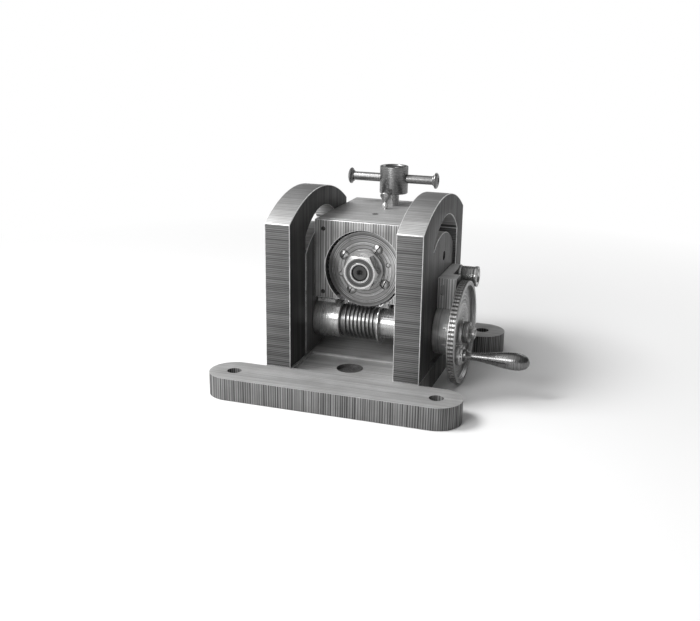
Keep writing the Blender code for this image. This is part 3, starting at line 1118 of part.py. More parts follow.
# ================================================================ assembly
def build():
    head_pivot = empty("head_slide", (0, SCREW_Y, HEAD_BOTTOM))
    spindle_pivot = empty("spindle_axis", (0, WORM_Y, SPINDLE_Z))
    worm_pivot = empty("worm_axis", (0, WORM_Y, WORM_Z))
    crank_pivot = empty("crank_axis", (GRIP_START, CRANK_Y, CRANK_Z))
    screw_pivot = empty("screw_axis", (0, SCREW_Y, HEAD_TOP))
    bar_pivot = empty("bar_slide", (BAR_SHIFT, SCREW_Y, BAR_Z))
    lock_pivot = empty("lock_axis", (LOCK_X, LOCK_Y, HEAD_TOP))
    clamp_pivot = empty("clamp_axis", (BRACKET_INNER + BRACKET_THICKNESS, CLAMP_Y, CLAMP_Z))

    make_base()
    make_cheek("left_cheek", -1)
    make_cheek("right_cheek", 1)
    make_cheek_bolts()
    make_lift_nut()

    hang(head_pivot, make_head_block(), make_front_plate(), *make_plate_screws(),
         make_slide("left_slide", -1), make_slide("right_slide", 1), *make_slide_screws(),
         make_worm_bearing("left_worm_bearing", -1, LEFT_BOSS_LEFT, LEFT_BOSS_RIGHT, LEFT_BOSS_RADIUS),
         make_worm_bearing("right_worm_bearing", 1, RIGHT_BOSS_LEFT, HEAD_HALF, RIGHT_BOSS_RADIUS),
         make_worm_bush("left_worm_bush", LEFT_BOSS_LEFT, LEFT_BOSS_RIGHT),
         make_worm_bush("right_worm_bush", RIGHT_BOSS_LEFT, HEAD_HALF),
         make_bearing_bracket(), *make_bracket_screws(), make_index_drum(), *make_spindle_bushes())
    hang(spindle_pivot, make_spindle(), make_worm_wheel(), make_wheel_cap(), *make_cap_fixings(),
         *make_spindle_nut())
    hang(worm_pivot, make_worm(), make_worm_shaft(), make_handwheel(), make_handwheel_nut(), make_crank_pin())
    hang(crank_pivot, make_crank_grip())
    hang(screw_pivot, *make_lift_screw())
    hang(bar_pivot, *make_tommy_bar())
    hang(lock_pivot, make_lock_screw())
    washer, knob = make_clamp()
    hang(clamp_pivot, knob)
    hang(head_pivot, washer, spindle_pivot, worm_pivot, screw_pivot, lock_pivot, clamp_pivot)
    hang(worm_pivot, crank_pivot)
    hang(screw_pivot, bar_pivot)


build()
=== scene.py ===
"""Looks of the worm-geared hand press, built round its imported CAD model.

Metres, +Z up, +X towards the handwheel, -Y towards the front. Each piece rides on one CAD body.
"""

import functools
import math

import bmesh
import bpy
from mathutils import Matrix, Vector


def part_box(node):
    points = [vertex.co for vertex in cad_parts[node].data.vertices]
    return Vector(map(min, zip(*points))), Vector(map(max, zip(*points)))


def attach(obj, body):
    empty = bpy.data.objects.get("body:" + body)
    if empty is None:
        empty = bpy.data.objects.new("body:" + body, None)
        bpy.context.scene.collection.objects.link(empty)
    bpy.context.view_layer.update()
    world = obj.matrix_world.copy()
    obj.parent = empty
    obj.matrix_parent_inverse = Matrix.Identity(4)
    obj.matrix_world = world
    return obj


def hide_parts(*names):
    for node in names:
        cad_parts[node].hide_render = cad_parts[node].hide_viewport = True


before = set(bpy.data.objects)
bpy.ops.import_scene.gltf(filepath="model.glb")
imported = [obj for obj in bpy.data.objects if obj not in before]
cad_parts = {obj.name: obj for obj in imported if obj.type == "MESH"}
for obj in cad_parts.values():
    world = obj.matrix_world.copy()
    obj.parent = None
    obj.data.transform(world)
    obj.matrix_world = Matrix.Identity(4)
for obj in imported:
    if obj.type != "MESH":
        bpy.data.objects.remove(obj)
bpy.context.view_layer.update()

MM = 0.001
RIGHT = Vector((1, 0, 0))
BACK = Vector((0, 1, 0))
FRONT = Vector((0, -1, 0))
UP = Vector((0, 0, 1))


# ================================================================ places, from the CAD model
def middle(node):
    low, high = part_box(node)
    return (low + high) / 2


def size(node):
    low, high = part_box(node)
    return high - low


BASE_LOW, BASE_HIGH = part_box("base_casting")
CHEEK_LOW, CHEEK_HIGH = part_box("right_cheek")
BLOCK_LOW, BLOCK_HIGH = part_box("head_block")
PLATE_LOW, PLATE_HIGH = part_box("front_plate")
WORM_Y, WORM_Z = middle("worm").yz
SPINDLE_Z = middle("worm_wheel").z
SCREW_Y = middle("lift_screw").y
CRANK_Y, CRANK_Z = middle("crank_grip").yz
CLAMP_Y, CLAMP_Z = middle("clamp_knob").yz
BAR_Z = middle("tommy_bar").z
LOCK_X, LOCK_Y = middle("lock_screw").xy

# lines that pieces are turned about: the axis they lie along and a point they pass through
SPINDLE_LINE = ("Y", (0, 0, SPINDLE_Z))
WORM_LINE = ("X", (0, WORM_Y, WORM_Z))
CRANK_LINE = ("X", (0, CRANK_Y, CRANK_Z))
BAR_LINE = ("X", (0, SCREW_Y, BAR_Z))
CLAMP_LINE = ("X", (0, CLAMP_Y, CLAMP_Z))
SCREW_LINE = ("Z", (0, SCREW_Y, 0))
LOCK_LINE = ("Z", (LOCK_X, LOCK_Y, 0))

# sizes that no node's box gives
BAR_WIDTH = 74 * MM
BAR_HOLE_RADIUS = 10.5 * MM
NUT_WAY_RADIUS = 16.3 * MM
POCKET_MARGIN = 3 * MM
POCKET_CORNER = 4 * MM
POCKET_BACK = -41 * MM
POCKET_DEPTH = 4 * MM
RECESS_RADIUS = 20 * MM
RECESS_DEPTH = 6 * MM
RECESS_Y = -82 * MM
BOLT_ROOM_RADIUS = 11.5 * MM
BOLT_ROOM_DEPTH = 9 * MM
CHEEK_RISE = 36 * MM
WINDOW_Y = 12 * MM
WINDOW_HALF = 74 * MM
WINDOW_TOP = 254.5 * MM
WINDOW_RISE = 34 * MM
PLATE_OPENING_RADIUS = 61 * MM
CAP_PITCH_RADIUS = 38.5 * MM
CAP_SCREW_ANGLES = [58, 148, 238, 328]
CAP_DOWEL_ANGLES = [15, 195]
WORM_MODULE = 2 * MM
WORM_PITCH_RADIUS = 26 * MM
WHEEL_TEETH = 60
SPINDLE_THREAD_RADIUS = 12 * MM
SPINDLE_BORE = 16.3 * MM
SPINDLE_BUSH_BORE = 15.4 * MM
NUT_RING_RADIUS = 15.6 * MM
NUT_FACE_SINK = 0.8 * MM
LEFT_BOSS_RADIUS = 30 * MM
RIGHT_BOSS_RADIUS = 23 * MM
THRUST_RADIUS = 33 * MM
THRUST_THICK = 2.4 * MM
WEB_HALF = 11 * MM
BEARING_FLANGE = 6 * MM
BEARING_FLANGE_INNER = 46 * MM
BRACKET_THICK = 16 * MM
HANDWHEEL_RIM = (146 * MM, 158 * MM)
HANDWHEEL_WEB = (147 * MM, 151.5 * MM)
SHAFT_RADIUS = 10 * MM
SHAFT_BUSH_BORE = 10.4 * MM
DRUM_RADIUS = 37 * MM
RIM_TICKS = 76
DRUM_TICKS = 50
STEPS_PER_TICK = 12
LIFT_PITCH = 4 * MM
SCREW_RADIUS = 9 * MM
SCREW_ROOT = 8 * MM
SCREW_BORE = 9.3 * MM
BAR_BORE = 7.4 * MM
CLAMP_BORE = 5.3 * MM
SLIDE_SCREW_PLACES = [(22 * MM, 190 * MM), (58 * MM, 135 * MM)]
OIL_HOLE = (-4 * MM, 45 * MM)
OVERRUN = 5 * MM  # how far a cutter starts outside the face it cuts
THROUGH = 60 * MM  # long enough for a cutter to pass any plate
KEY_DIRECTION = (-0.56, -0.33, 0.76)

# turned metals: tone, contrast of the rings, metal, roughness, pitch of the rings in mm, how far the
# highlights are drawn out into fans, depth of the stains
STEELS = {
    "bearing": (0.52, 0.18, 0.75, 0.26, 2.6, 0.0, 0.6),
    "drum": (0.75, 0.30, 0.6, 0.34, 1.8, 0.0, 0.45),
    "worm_wheel": (0.20, 0.3, 0.8, 0.45, 1.2, 0.0, 0.45),
    "cap": (0.26, 0.80, 0.7, 0.32, 2.6, 0.85, 0.5),
    "cap_screw": (0.50, 0.25, 0.9, 0.30, 1.0, 0.0, 0.45),
    "dowel": (0.40, 0.3, 0.8, 0.3, 1.0, 0.0, 0.45),
    "washer": (0.36, 0.5, 0.75, 0.34, 1.8, 0.6, 0.45),
    "nut_flank": (0.55, 0.35, 0.9, 0.22, 1.4, 0.0, 0.45),
    # the nut's face and chamfer are the nut's own steel: the face made very dark as painted shade, the chamfer
    # very bright as painted highlight
    "nut_face": (0.085, 0.90, 0.40, 0.45, 2.0, 0.0, 0.3),
    "nut_chamfer_highlight": (0.85, 0.10, 0.5, 0.30, 1.0, 0.0, 0.45),
    "nut_ring": (0.5, 0.15, 0.5, 0.32, 1.0, 0.0, 0.45),
    # the spindle is made near black: painted shade on its end seen inside the nut
    "spindle": (0.05, 0.7, 0.4, 0.5, 1.6, 0.0, 0.6),
    "worm": (0.32, 0.25, 0.85, 0.28, 0.9, 0.0, 0.45),
    "shaft": (0.5, 0.25, 0.85, 0.30, 1.2, 0.0, 0.45),
    "handwheel": (0.32, 0.60, 0.85, 0.30, 2.6, 0.8, 0.5),
    "shaft_nut": (0.55, 0.25, 0.85, 0.30, 1.2, 0.0, 0.45),
    "crank_pin": (0.56, 0.25, 0.85, 0.24, 1.2, 0.0, 0.45),
    "grip": (0.17, 0.18, 0.95, 0.24, 3.0, 0.0, 0.3),
    "lift_screw": (0.45, 0.25, 0.85, 0.28, 1.4, 0.0, 0.45),
    "hub": (0.22, 0.20, 0.9, 0.27, 1.6, 0.0, 0.2),
    "tommy_bar": (0.24, 0.28, 0.85, 0.36, 1.6, 0.0, 0.45),
    "tommy_knob": (0.24, 0.25, 0.85, 0.30, 1.2, 0.0, 0.45),
    "lock_stem": (0.75, 0.15, 0.6, 0.2, 0.9, 0.0, 0.45),
    "lock_wing": (0.26, 0.3, 0.8, 0.30, 1.4, 0.0, 0.45),
    "clamp_washer": (0.5, 0.25, 0.85, 0.26, 1.2, 0.0, 0.45),
    "clamp_knob": (0.5, 0.3, 0.85, 0.24, 1.6, 0.4, 0.45),
}


# ================================================================ materials
def add_node(tree, kind, inputs, **values):
    """Adds a node with its settings; each input gets a number, a colour or another node's output."""
    node = tree.nodes.new(kind)
    for key, value in values.items():
        setattr(node, key, value)
    feed(tree, node, inputs)
    return node


def feed(tree, node, inputs):
    for name, value in inputs.items():
        socket = node.inputs[name]
        if isinstance(value, bpy.types.NodeSocket):
            tree.links.new(value, socket)
        elif socket.type == "RGBA" and not isinstance(value, tuple):
            socket.default_value = (value, value, value, 1)
        else:
            socket.default_value = value


def new_material(name):
    """Returns a material with its tree, its shader and the piece's own coordinates."""
    material = bpy.data.materials.new(f"{name}_{len(bpy.data.materials)}")
    material.use_nodes = True
    tree = material.node_tree
    place = add_node(tree, "ShaderNodeTexCoord", {}).outputs["Object"]
    return material, tree, tree.nodes["Principled BSDF"], place


def noise(tree, vector, scale, detail, roughness):
    inputs = {"Vector": vector, "Scale": scale, "Detail": detail, "Roughness": roughness}
    return add_node(tree, "ShaderNodeTexNoise", inputs).outputs["Fac"]


def grey(value, warm=0.0):
    return (value * (1 + warm), value, value * (1 - warm), 1)


def ramp(tree, factor, stops):
    """Stops are (position, value) or (position, colour)."""
    node = add_node(tree, "ShaderNodeValToRGB", {"Fac": factor})
    elements = node.color_ramp.elements
    while len(elements) < len(stops):
        elements.new(0.5)
    for element, (position, value) in zip(elements, stops):
        element.position = position
        element.color = value if isinstance(value, tuple) else grey(value)
    return node.outputs["Color"]


def mixed(tree, factor, first, second, mode="MIX"):
    inputs = {"Factor": factor, "A": first, "B": second}
    return add_node(tree, "ShaderNodeMix", inputs, data_type="RGBA", blend_type=mode).outputs["Result"]


def maths(tree, operation, *values):
    return add_node(tree, "ShaderNodeMath", dict(enumerate(values)), operation=operation).outputs["Value"]


def weighted(tree, vector, weights):
    """The dot product of a vector and three weights."""
    inputs = {0: vector, 1: weights}
    return add_node(tree, "ShaderNodeVectorMath", inputs, operation="DOT_PRODUCT").outputs["Value"]


def distance(tree, first, second):
    """How far a point is from an axis, given its two coordinates across it."""
    squares = [maths(tree, "MULTIPLY", value, value) for value in (first, second)]
    return maths(tree, "SQRT", maths(tree, "ADD", *squares))


def dress(tree, shader, colour, roughness, metal, height, strength, depth):
    """Feeds the shader, with a bump of the given depth where the height is 1."""
    inputs = {"Height": height, "Strength": strength, "Distance": depth}
    normal = add_node(tree, "ShaderNodeBump", inputs).outputs["Normal"]
    feed(tree, shader, {"Base Color": colour, "Roughness": roughness, "Metallic": metal, "Normal": normal})


def stripes(tree, across, along, pitch, waver, grain):
    """Even tool marks at one pitch that waver a little, broken up by finer uneven ones. From 0 to 1."""
    drift = maths(tree, "MULTIPLY", noise(tree, along, 45.0, 3.0, 0.6), waver * 2 * math.pi)
    phase = maths(tree, "ADD", maths(tree, "MULTIPLY", across, 2 * math.pi / pitch), drift)
    wave = maths(tree, "ADD", maths(tree, "MULTIPLY", maths(tree, "SINE", phase), 0.5), 0.5)
    uneven = ramp(tree, noise(tree, along, 0.9 / pitch, 3.0, 0.6), [(0.36, 0.0), (0.64, 1.0)])
    return mixed(tree, grain, wave, uneven)


def stained(tree, place, base, tone, amount, scale):
    mottle = noise(tree, place, scale, 5.0, 0.6)
    return mixed(tree, ramp(tree, mottle, [(0.38, 0.0), (0.76, amount)]), base, grey(tone * 0.5, 0.03))


def tinted(tree, marks, tone, contrast, brightest):
    """Tool marks from dark to light round a tone."""
    light = min(brightest, tone * (1 + contrast))
    return ramp(tree, marks, [(0.12, grey(tone * (1 - contrast))), (0.5, grey(tone)), (0.88, grey(light))])


# per direction of the tool marks: how far noise is drawn out along them, and what is measured across them
LINES = {
    "X": ((0.012, 1.0, 1.0), (0.0, 1.0, 0.3)),
    "X_upright": ((0.012, 1.0, 1.0), (0.0, 0.0, 1.0)),
    "Z": ((1.0, 1.0, 0.012), (1.0, 0.6, 0.0)),
    "Z_side": ((1.0, 1.0, 0.012), (0.0, 1.0, 0.0)),
}


@functools.cache
def planed(lines, tone, contrast=0.45, pitch=3.4 * MM, fade=None):
    """Planed iron: parallel tool marks over slow mottling and dark pits.

    fade paints light and shade by height: it multiplies the colour by height and is (low z, high z, share at
    low z, share at high z).
    """
    material, tree, shader, place = new_material("planed_iron")
    stretch, weights = LINES[lines]
    along = add_node(tree, "ShaderNodeMapping", {"Vector": place, "Scale": stretch}).outputs["Vector"]
    marks = stripes(tree, weighted(tree, place, weights), along, pitch, 1.6, 0.45)
    grain = noise(tree, place, 1500.0, 2.0, 0.5)
    colour = stained(tree, place, tinted(tree, marks, tone, contrast, 0.92), tone, 0.40, 26.0)
    # painted light and shade: the colour is made lighter or darker by height
    if fade:
        low, high, first, last = fade
        height = maths(tree, "SUBTRACT", weighted(tree, place, (0, 0, 1)), low)
        share = ramp(tree, maths(tree, "DIVIDE", height, high - low), [(0.0, first), (1.0, last)])
        colour = mixed(tree, 1.0, colour, share, "MULTIPLY")
    pits = ramp(tree, grain, [(0.24, 0.55), (0.31, 0.0)])
    dress(tree, shader, mixed(tree, pits, colour, grey(tone * 0.35, 0.04)),
          ramp(tree, marks, [(0.1, 0.62), (0.9, 0.38)]), 0.35, mixed(tree, 0.25, marks, grain), 0.5,
          0.22 * MM)
    return material


@functools.cache
def shade_in_holes(tone, rough=0.6, metal=0.55):
    """Rough iron skin, pitted, with brushed-off high spots; used only in dark tones on the walls of holes,
    seats and recesses, where it is painted shade.
    """
    material, tree, shader, place = new_material("iron_hollow_shade")
    skin = noise(tree, place, 420.0, 6.0, 0.65)
    broad = ramp(tree, noise(tree, place, 34.0, 4.0, 0.55), [(0.35, 0.0), (0.72, 0.4)])
    base = ramp(tree, skin, [(0.30, grey(tone * 0.55, 0.03)), (0.52, grey(tone)), (0.75, grey(tone * 1.45))])
    dress(tree, shader, mixed(tree, broad, base, grey(tone * 0.55, 0.05)),
          ramp(tree, skin, [(0.3, rough + 0.12), (0.7, rough - 0.12)]), metal, skin, 0.6, 0.3 * MM)
    return material


# per axis of turning: where the coordinates along it and across it stand in X, Y, Z
AXIS_TURN = {"X": (0, 1, 2), "Y": (1, 0, 2), "Z": (2, 0, 1)}


@functools.cache
def turned_steel(kind, line):
    """Turned metal: rings round the line, at one pitch along it and, by radius, on the end faces."""
    tone, contrast, metal, rough, pitch, brushed, dull = STEELS[kind]
    axis, centre = line
    material, tree, shader, place = new_material(f"turned_steel_{axis.lower()}")
    split = add_node(tree, "ShaderNodeSeparateXYZ", {"Vector": place}).outputs
    order = AXIS_TURN[axis]
    along = split[order[0]]
    radius = distance(tree, *(maths(tree, "SUBTRACT", split[i], centre[i]) for i in order[1:]))
    rings = add_node(tree, "ShaderNodeCombineXYZ", {"X": along, "Y": radius}).outputs["Vector"]
    marks = stripes(tree, maths(tree, "ADD", along, radius), rings, pitch * MM, 0.5, 0.6)
    dots = noise(tree, place, 900.0, 2.0, 0.5)
    smear = mixed(tree, 0.45, marks, noise(tree, place, 40.0, 5.0, 0.6))
    dress(tree, shader, stained(tree, place, tinted(tree, marks, tone, contrast, 0.95), tone, dull, 40.0),
          ramp(tree, smear, [(0.25, rough + 0.12), (0.75, max(0.06, rough - 0.08))]), metal,
          mixed(tree, 0.15, marks, dots), 0.5, 0.12 * MM)
    if brushed:
        tangent = add_node(tree, "ShaderNodeTangent", {}, direction_type="RADIAL", axis=axis)
        feed(tree, shader, {"Anisotropic": brushed, "Tangent": tangent.outputs["Tangent"]})
    return material


@functools.cache
def edge_wear_and_highlight():
    """Bright arris: partly where handling has rubbed the iron, partly a painted highlight along every rounded
    edge.
    """
    material, tree, shader, place = new_material("edge_wear_and_highlight")
    rub = noise(tree, place, 120.0, 5.0, 0.6)
    dress(tree, shader, ramp(tree, rub, [(0.30, grey(0.50)), (0.60, grey(0.82))]),
          ramp(tree, rub, [(0.35, 0.46), (0.65, 0.28)]), 0.5, rub, 0.3, 0.1 * MM)
    return material


# blackened steel for screws, bolts, pins and graduations; in dark tones on the walls of seats, bores and slots
# it is painted shade
@functools.cache
def black_finish_and_shade(tone):
    material, tree, shader, place = new_material("black_finish_and_shade_steel")
    scale_marks = noise(tree, place, 700.0, 4.0, 0.6)
    dress(tree, shader, ramp(tree, scale_marks, [(0.3, grey(tone * 0.6)), (0.7, grey(tone * 1.8, 0.03))]),
          ramp(tree, scale_marks, [(0.3, 0.34), (0.7, 0.55)]), 0.8, scale_marks, 0.4, 0.1 * MM)
    return material


@functools.cache
def bronze():
    material, tree, shader, place = new_material("bronze")
    tarnish = ramp(tree, noise(tree, place, 60.0, 6.0, 0.6),
                   [(0.32, (0.20, 0.13, 0.065, 1)), (0.55, (0.42, 0.29, 0.15, 1)),
                    (0.75, (0.55, 0.40, 0.22, 1))])
    fine = noise(tree, place, 1100.0, 3.0, 0.6)
    dress(tree, shader, tarnish, ramp(tree, fine, [(0.3, 0.28), (0.7, 0.48)]), 1.0, fine, 0.35, 0.1 * MM)
    return material


# ================================================================ mesh tools
def link(name, data):
    piece = bpy.data.objects.new(name, data)
    bpy.context.scene.collection.objects.link(piece)
    return piece


def sharpen(mesh, angle=24):
    mesh.shade_smooth()
    mesh.set_sharp_from_angle(angle=math.radians(angle))


def frame_along(start, direction):
    turn = UP.rotation_difference(Vector(direction)).to_matrix().to_4x4()
    return Matrix.Translation(Vector(start)) @ turn


def from_bmesh(name, work, angle=24):
    bmesh.ops.recalc_face_normals(work, faces=work.faces)
    mesh = bpy.data.meshes.new(name)
    work.to_mesh(mesh)
    work.free()
    sharpen(mesh, angle)
    return link(name, mesh)


def skin(name, rows, angle):
    """Closes rows of points, as many in each, into a tube with flat ends."""
    work = bmesh.new()
    rings = [[work.verts.new(point) for point in row] for row in rows]
    for ring, after in zip(rings, rings[1:]):
        for k in range(len(ring)):
            n = (k + 1) % len(ring)
            work.faces.new((ring[k], ring[n], after[n], after[k]))
    work.faces.new(rings[0][::-1])
    work.faces.new(rings[-1])
    return from_bmesh(name, work, angle)


def fillet(points, radius, count=3, closed=False):
    """Rounds each corner of a polyline of (a, b) points, by a radius limited to its sides."""
    result = []
    total = len(points)
    for i, point in enumerate(points):
        if not closed and i in (0, total - 1):
            result.append(point)
            continue
        here = Vector(point)
        before = Vector(points[i - 1]) - here
        after = Vector(points[(i + 1) % total]) - here
        bend = before.angle(after, 0) if before.length and after.length else math.pi
        if bend > math.radians(155) or min(before.length, after.length) < 1e-6:
            result.append(point)
            continue
        reach = min(radius / math.tan(bend / 2), before.length * 0.45, after.length * 0.45)
        first = here + before.normalized() * reach
        last = here + after.normalized() * reach
        for k in range(count + 1):
            t = k / count
            result.append(tuple(first * (1 - t) ** 2 + here * (2 * t * (1 - t)) + last * t ** 2))
    return result


def lathe(name, profile, start, direction, steps, closed=False, round_off=0.0, shape=None):
    """Profile is (radius, height). A closed one is a ring; an open one starts and ends on the axis."""
    if round_off:
        profile = fillet(profile, round_off, 3, closed)
    work = bmesh.new()
    rings = []
    for radius, height in profile:
        if radius < 1e-7:
            rings.append([work.verts.new((0, 0, height))])
            continue
        ring = []
        for i in range(steps):
            angle = 2 * math.pi * i / steps
            r, h = (radius, height) if shape is None else shape(radius, height, angle)
            ring.append(work.verts.new((r * math.cos(angle), r * math.sin(angle), h)))
        rings.append(ring)
    pairs = list(zip(rings, rings[1:]))
    if closed:
        pairs.append((rings[-1], rings[0]))
    for first, second in pairs:
        for i in range(steps):
            j = (i + 1) % steps
            corners = [first[i % len(first)], first[j % len(first)],
                       second[j % len(second)], second[i % len(second)]]
            unique = list(dict.fromkeys(corners))
            if len(unique) > 2:
                work.faces.new(unique)
    work.transform(frame_along(start, direction))
    return from_bmesh(name, work)


def ring(outer, inner, length):
    return [(outer, length), (outer, 0), (inner, 0), (inner, length)]


def turn(name, profile, line, start, kind, steps, flip=False, **more):
    """A piece turned about a line, from a place on it towards + or, when flipped, towards -."""
    axis, centre = line
    index = "XYZ".index(axis)
    direction = (RIGHT, BACK, UP)[index] * (-1 if flip else 1)
    origin = Vector(centre)
    origin[index] = start
    return coat(lathe(name, profile, origin, direction, steps, **more), turned_steel(kind, line))


def arc(centre_u, centre_v, radius, start, end, count):
    points = []
    for i in range(count + 1):
        angle = math.radians(start + (end - start) * i / count)
        points.append((centre_u + radius * math.cos(angle), centre_v + radius * math.sin(angle)))
    return points


def circle(centre_u, centre_v, radius, count):
    return arc(centre_u, centre_v, radius, 0, 360, count)[:-1]


def arch(centre, half_width, top, rise, count):
    radius = (half_width ** 2 + rise ** 2) / (2 * rise)
    half_angle = math.degrees(math.asin(min(1.0, half_width / radius)))
    return arc(centre, top - radius, radius, 90 + half_angle, 90 - half_angle, count)


def obround(centre_u, centre_v, half_width, half_height, count=16):
    """An upright slot with round ends."""
    straight = half_height - half_width
    return (arc(centre_u, centre_v + straight, half_width, 0, 180, count)
            + arc(centre_u, centre_v - straight, half_width, 180, 360, count))


# where a flat outline's u, v and thickness point, as the columns of a matrix
PLANES = {
    "XY": Matrix(((1, 0, 0, 0), (0, 1, 0, 0), (0, 0, 1, 0), (0, 0, 0, 1))),
    "YZ": Matrix(((0, 0, 1, 0), (1, 0, 0, 0), (0, 1, 0, 0), (0, 0, 0, 1))),
    "XZ": Matrix(((1, 0, 0, 0), (0, 0, -1, 0), (0, 1, 0, 0), (0, 0, 0, 1))),
}


def evaluated_mesh(piece):
    bpy.context.view_layer.update()
    graph = bpy.context.evaluated_depsgraph_get()
    mesh = bpy.data.meshes.new_from_object(piece.evaluated_get(graph))
    mesh.transform(piece.matrix_world)
    return mesh


def settle(piece):
    """Applies a piece's modifiers and its placing, so that its mesh is final and in the frame's metres."""
    mesh = evaluated_mesh(piece)
    old = piece.data
    piece.modifiers.clear()
    piece.data = mesh
    piece.matrix_world = Matrix.Identity(4)
    bpy.data.meshes.remove(old)
    mesh.name = piece.name
    sharpen(mesh)
    return piece


def slab(name, outlines, plane, low, high):
    """Extrudes outlines, the first outside and the rest holes, from low to high along the plane's normal."""
    curve = bpy.data.curves.new(name, "CURVE")
    curve.dimensions = "2D"
    curve.fill_mode = "BOTH"
    curve.extrude = (high - low) / 2
    for outline in outlines:
        spline = curve.splines.new("POLY")
        spline.points.add(len(outline) - 1)
        for point, (u, v) in zip(spline.points, outline):
            point.co = (u, v, 0, 1)
        spline.use_cyclic_u = True
    shape = link(name + "_shape", curve)
    shape.matrix_world = PLANES[plane] @ Matrix.Translation((0, 0, (low + high) / 2))
    mesh = evaluated_mesh(shape)
    bpy.data.objects.remove(shape, do_unlink=True)
    work = bmesh.new()
    work.from_mesh(mesh)
    bpy.data.meshes.remove(mesh)
    bmesh.ops.remove_doubles(work, verts=work.verts, dist=0.000001)
    bmesh.ops.dissolve_limit(work, angle_limit=math.radians(0.2), verts=work.verts, edges=work.edges)
    return from_bmesh(name, work)


def block(name, low, high):
    work = bmesh.new()
    bmesh.ops.create_cube(work, size=1)
    low, high = Vector(low), Vector(high)
    bmesh.ops.scale(work, vec=high - low, verts=work.verts)
    bmesh.ops.translate(work, vec=(low + high) / 2, verts=work.verts)
    return from_bmesh(name, work)


def rod(name, start, direction, length, radius, steps, look=None, round_off=0.0):
    profile = [(0, length), (radius, length), (radius, 0), (0, 0)]
    piece = lathe(name, profile, start, direction, steps, round_off=round_off)
    return coat(piece, look) if look else piece


def soften(piece, width, segments=3, edge_slot=None):
    """Rounds the sharp edges; the new faces take the material slot given."""
    bevel = piece.modifiers.new("soften", "BEVEL")
    bevel.width = width
    bevel.segments = segments
    bevel.limit_method = "ANGLE"
    bevel.angle_limit = math.radians(40)
    bevel.use_clamp_overlap = True
    if edge_slot is not None:
        bevel.material = edge_slot
    return settle(piece)


def carve(piece, *tools, mode="DIFFERENCE"):
    for tool in tools:
        boolean = piece.modifiers.new(tool.name, "BOOLEAN")
        boolean.operation = mode
        boolean.solver = "EXACT"
        boolean.material_mode = "TRANSFER"
        boolean.object = tool
        settle(piece)
        bpy.data.objects.remove(tool, do_unlink=True)


def coat(piece, *materials):
    piece.data.materials.clear()
    for material in materials:
        piece.data.materials.append(material)
    return piece


EDGE_SLOT = 3


def coat_and_shade_by_side(piece, side_x, side_y, side_z, keep=True):
    """Faces that look along X, Y or Z get the material for that side, whose tones paint light and shade by the
    way the face looks; rounded edges keep the edge slot.
    """
    wanted = [side_x, side_y, side_z, edge_wear_and_highlight()]
    # a material may stand in one slot only, or a Boolean that carries materials over mixes the slots up
    kinds = list(dict.fromkeys(material.name for material in wanted))
    slots = []
    for face in piece.data.polygons:
        reach = [abs(face.normal.dot(axis)) for axis in (RIGHT, BACK, UP)]
        is_edge = keep and face.material_index == EDGE_SLOT
        slots.append(kinds.index(wanted[EDGE_SLOT if is_edge else reach.index(max(reach))].name))
    # changing the list of materials resets every face's slot, so the slots are set after it
    coat(piece, *(bpy.data.materials[kind] for kind in kinds))
    piece.data.polygons.foreach_set("material_index", slots)


def planed_block(piece, side_x, side_y, side_z, width=0.9 * MM):
    """Softens a plate or block and gives each side its own planing and its own tone, the tones being painted
    light and shade.
    """
    coat(piece, *[edge_wear_and_highlight()] * (EDGE_SLOT + 1))
    soften(piece, width, edge_slot=EDGE_SLOT)
    coat_and_shade_by_side(piece, side_x, side_y, side_z)


def seat(piece, body, slot, *nodes):
    """Puts a finished piece on its body and lets it stand for its CAD nodes."""
    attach(piece, body)
    if nodes:
        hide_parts(*nodes)


def slotted_head(name, radius, height, start, direction, angle, look, dome=0.5 * MM, slot=(1.6 * MM, 2 * MM),
                 slot_look=None):
    """A cheese-head screw top with a slightly domed, rounded crown and a sawn slot of a width and depth."""
    width, depth = slot
    profile = [(0, height), (radius * 0.55, height - dome * 0.35), (radius * 0.88, height - dome),
               (radius, height - dome - 0.5 * MM), (radius, 0), (0, 0)]
    head = coat(lathe(name, profile, (0, 0, 0), UP, 48), look)
    saw = coat(block(name + "_saw", (-2 * radius, -width / 2, height - depth),
                     (2 * radius, width / 2, 2 * height)),
               slot_look or look)
    saw.matrix_world = Matrix.Rotation(math.radians(angle), 4, "Z")
    carve(head, saw)
    head.data.transform(frame_along(start, direction))
    return head


def black_screw(node, radius, height, start, direction, angle, tone, **more):
    name = node.replace("screw_", "screw_head_")
    seat(slotted_head(name, radius, height, start, direction, angle, black_finish_and_shade(tone), **more), "head", "dark",
         node)


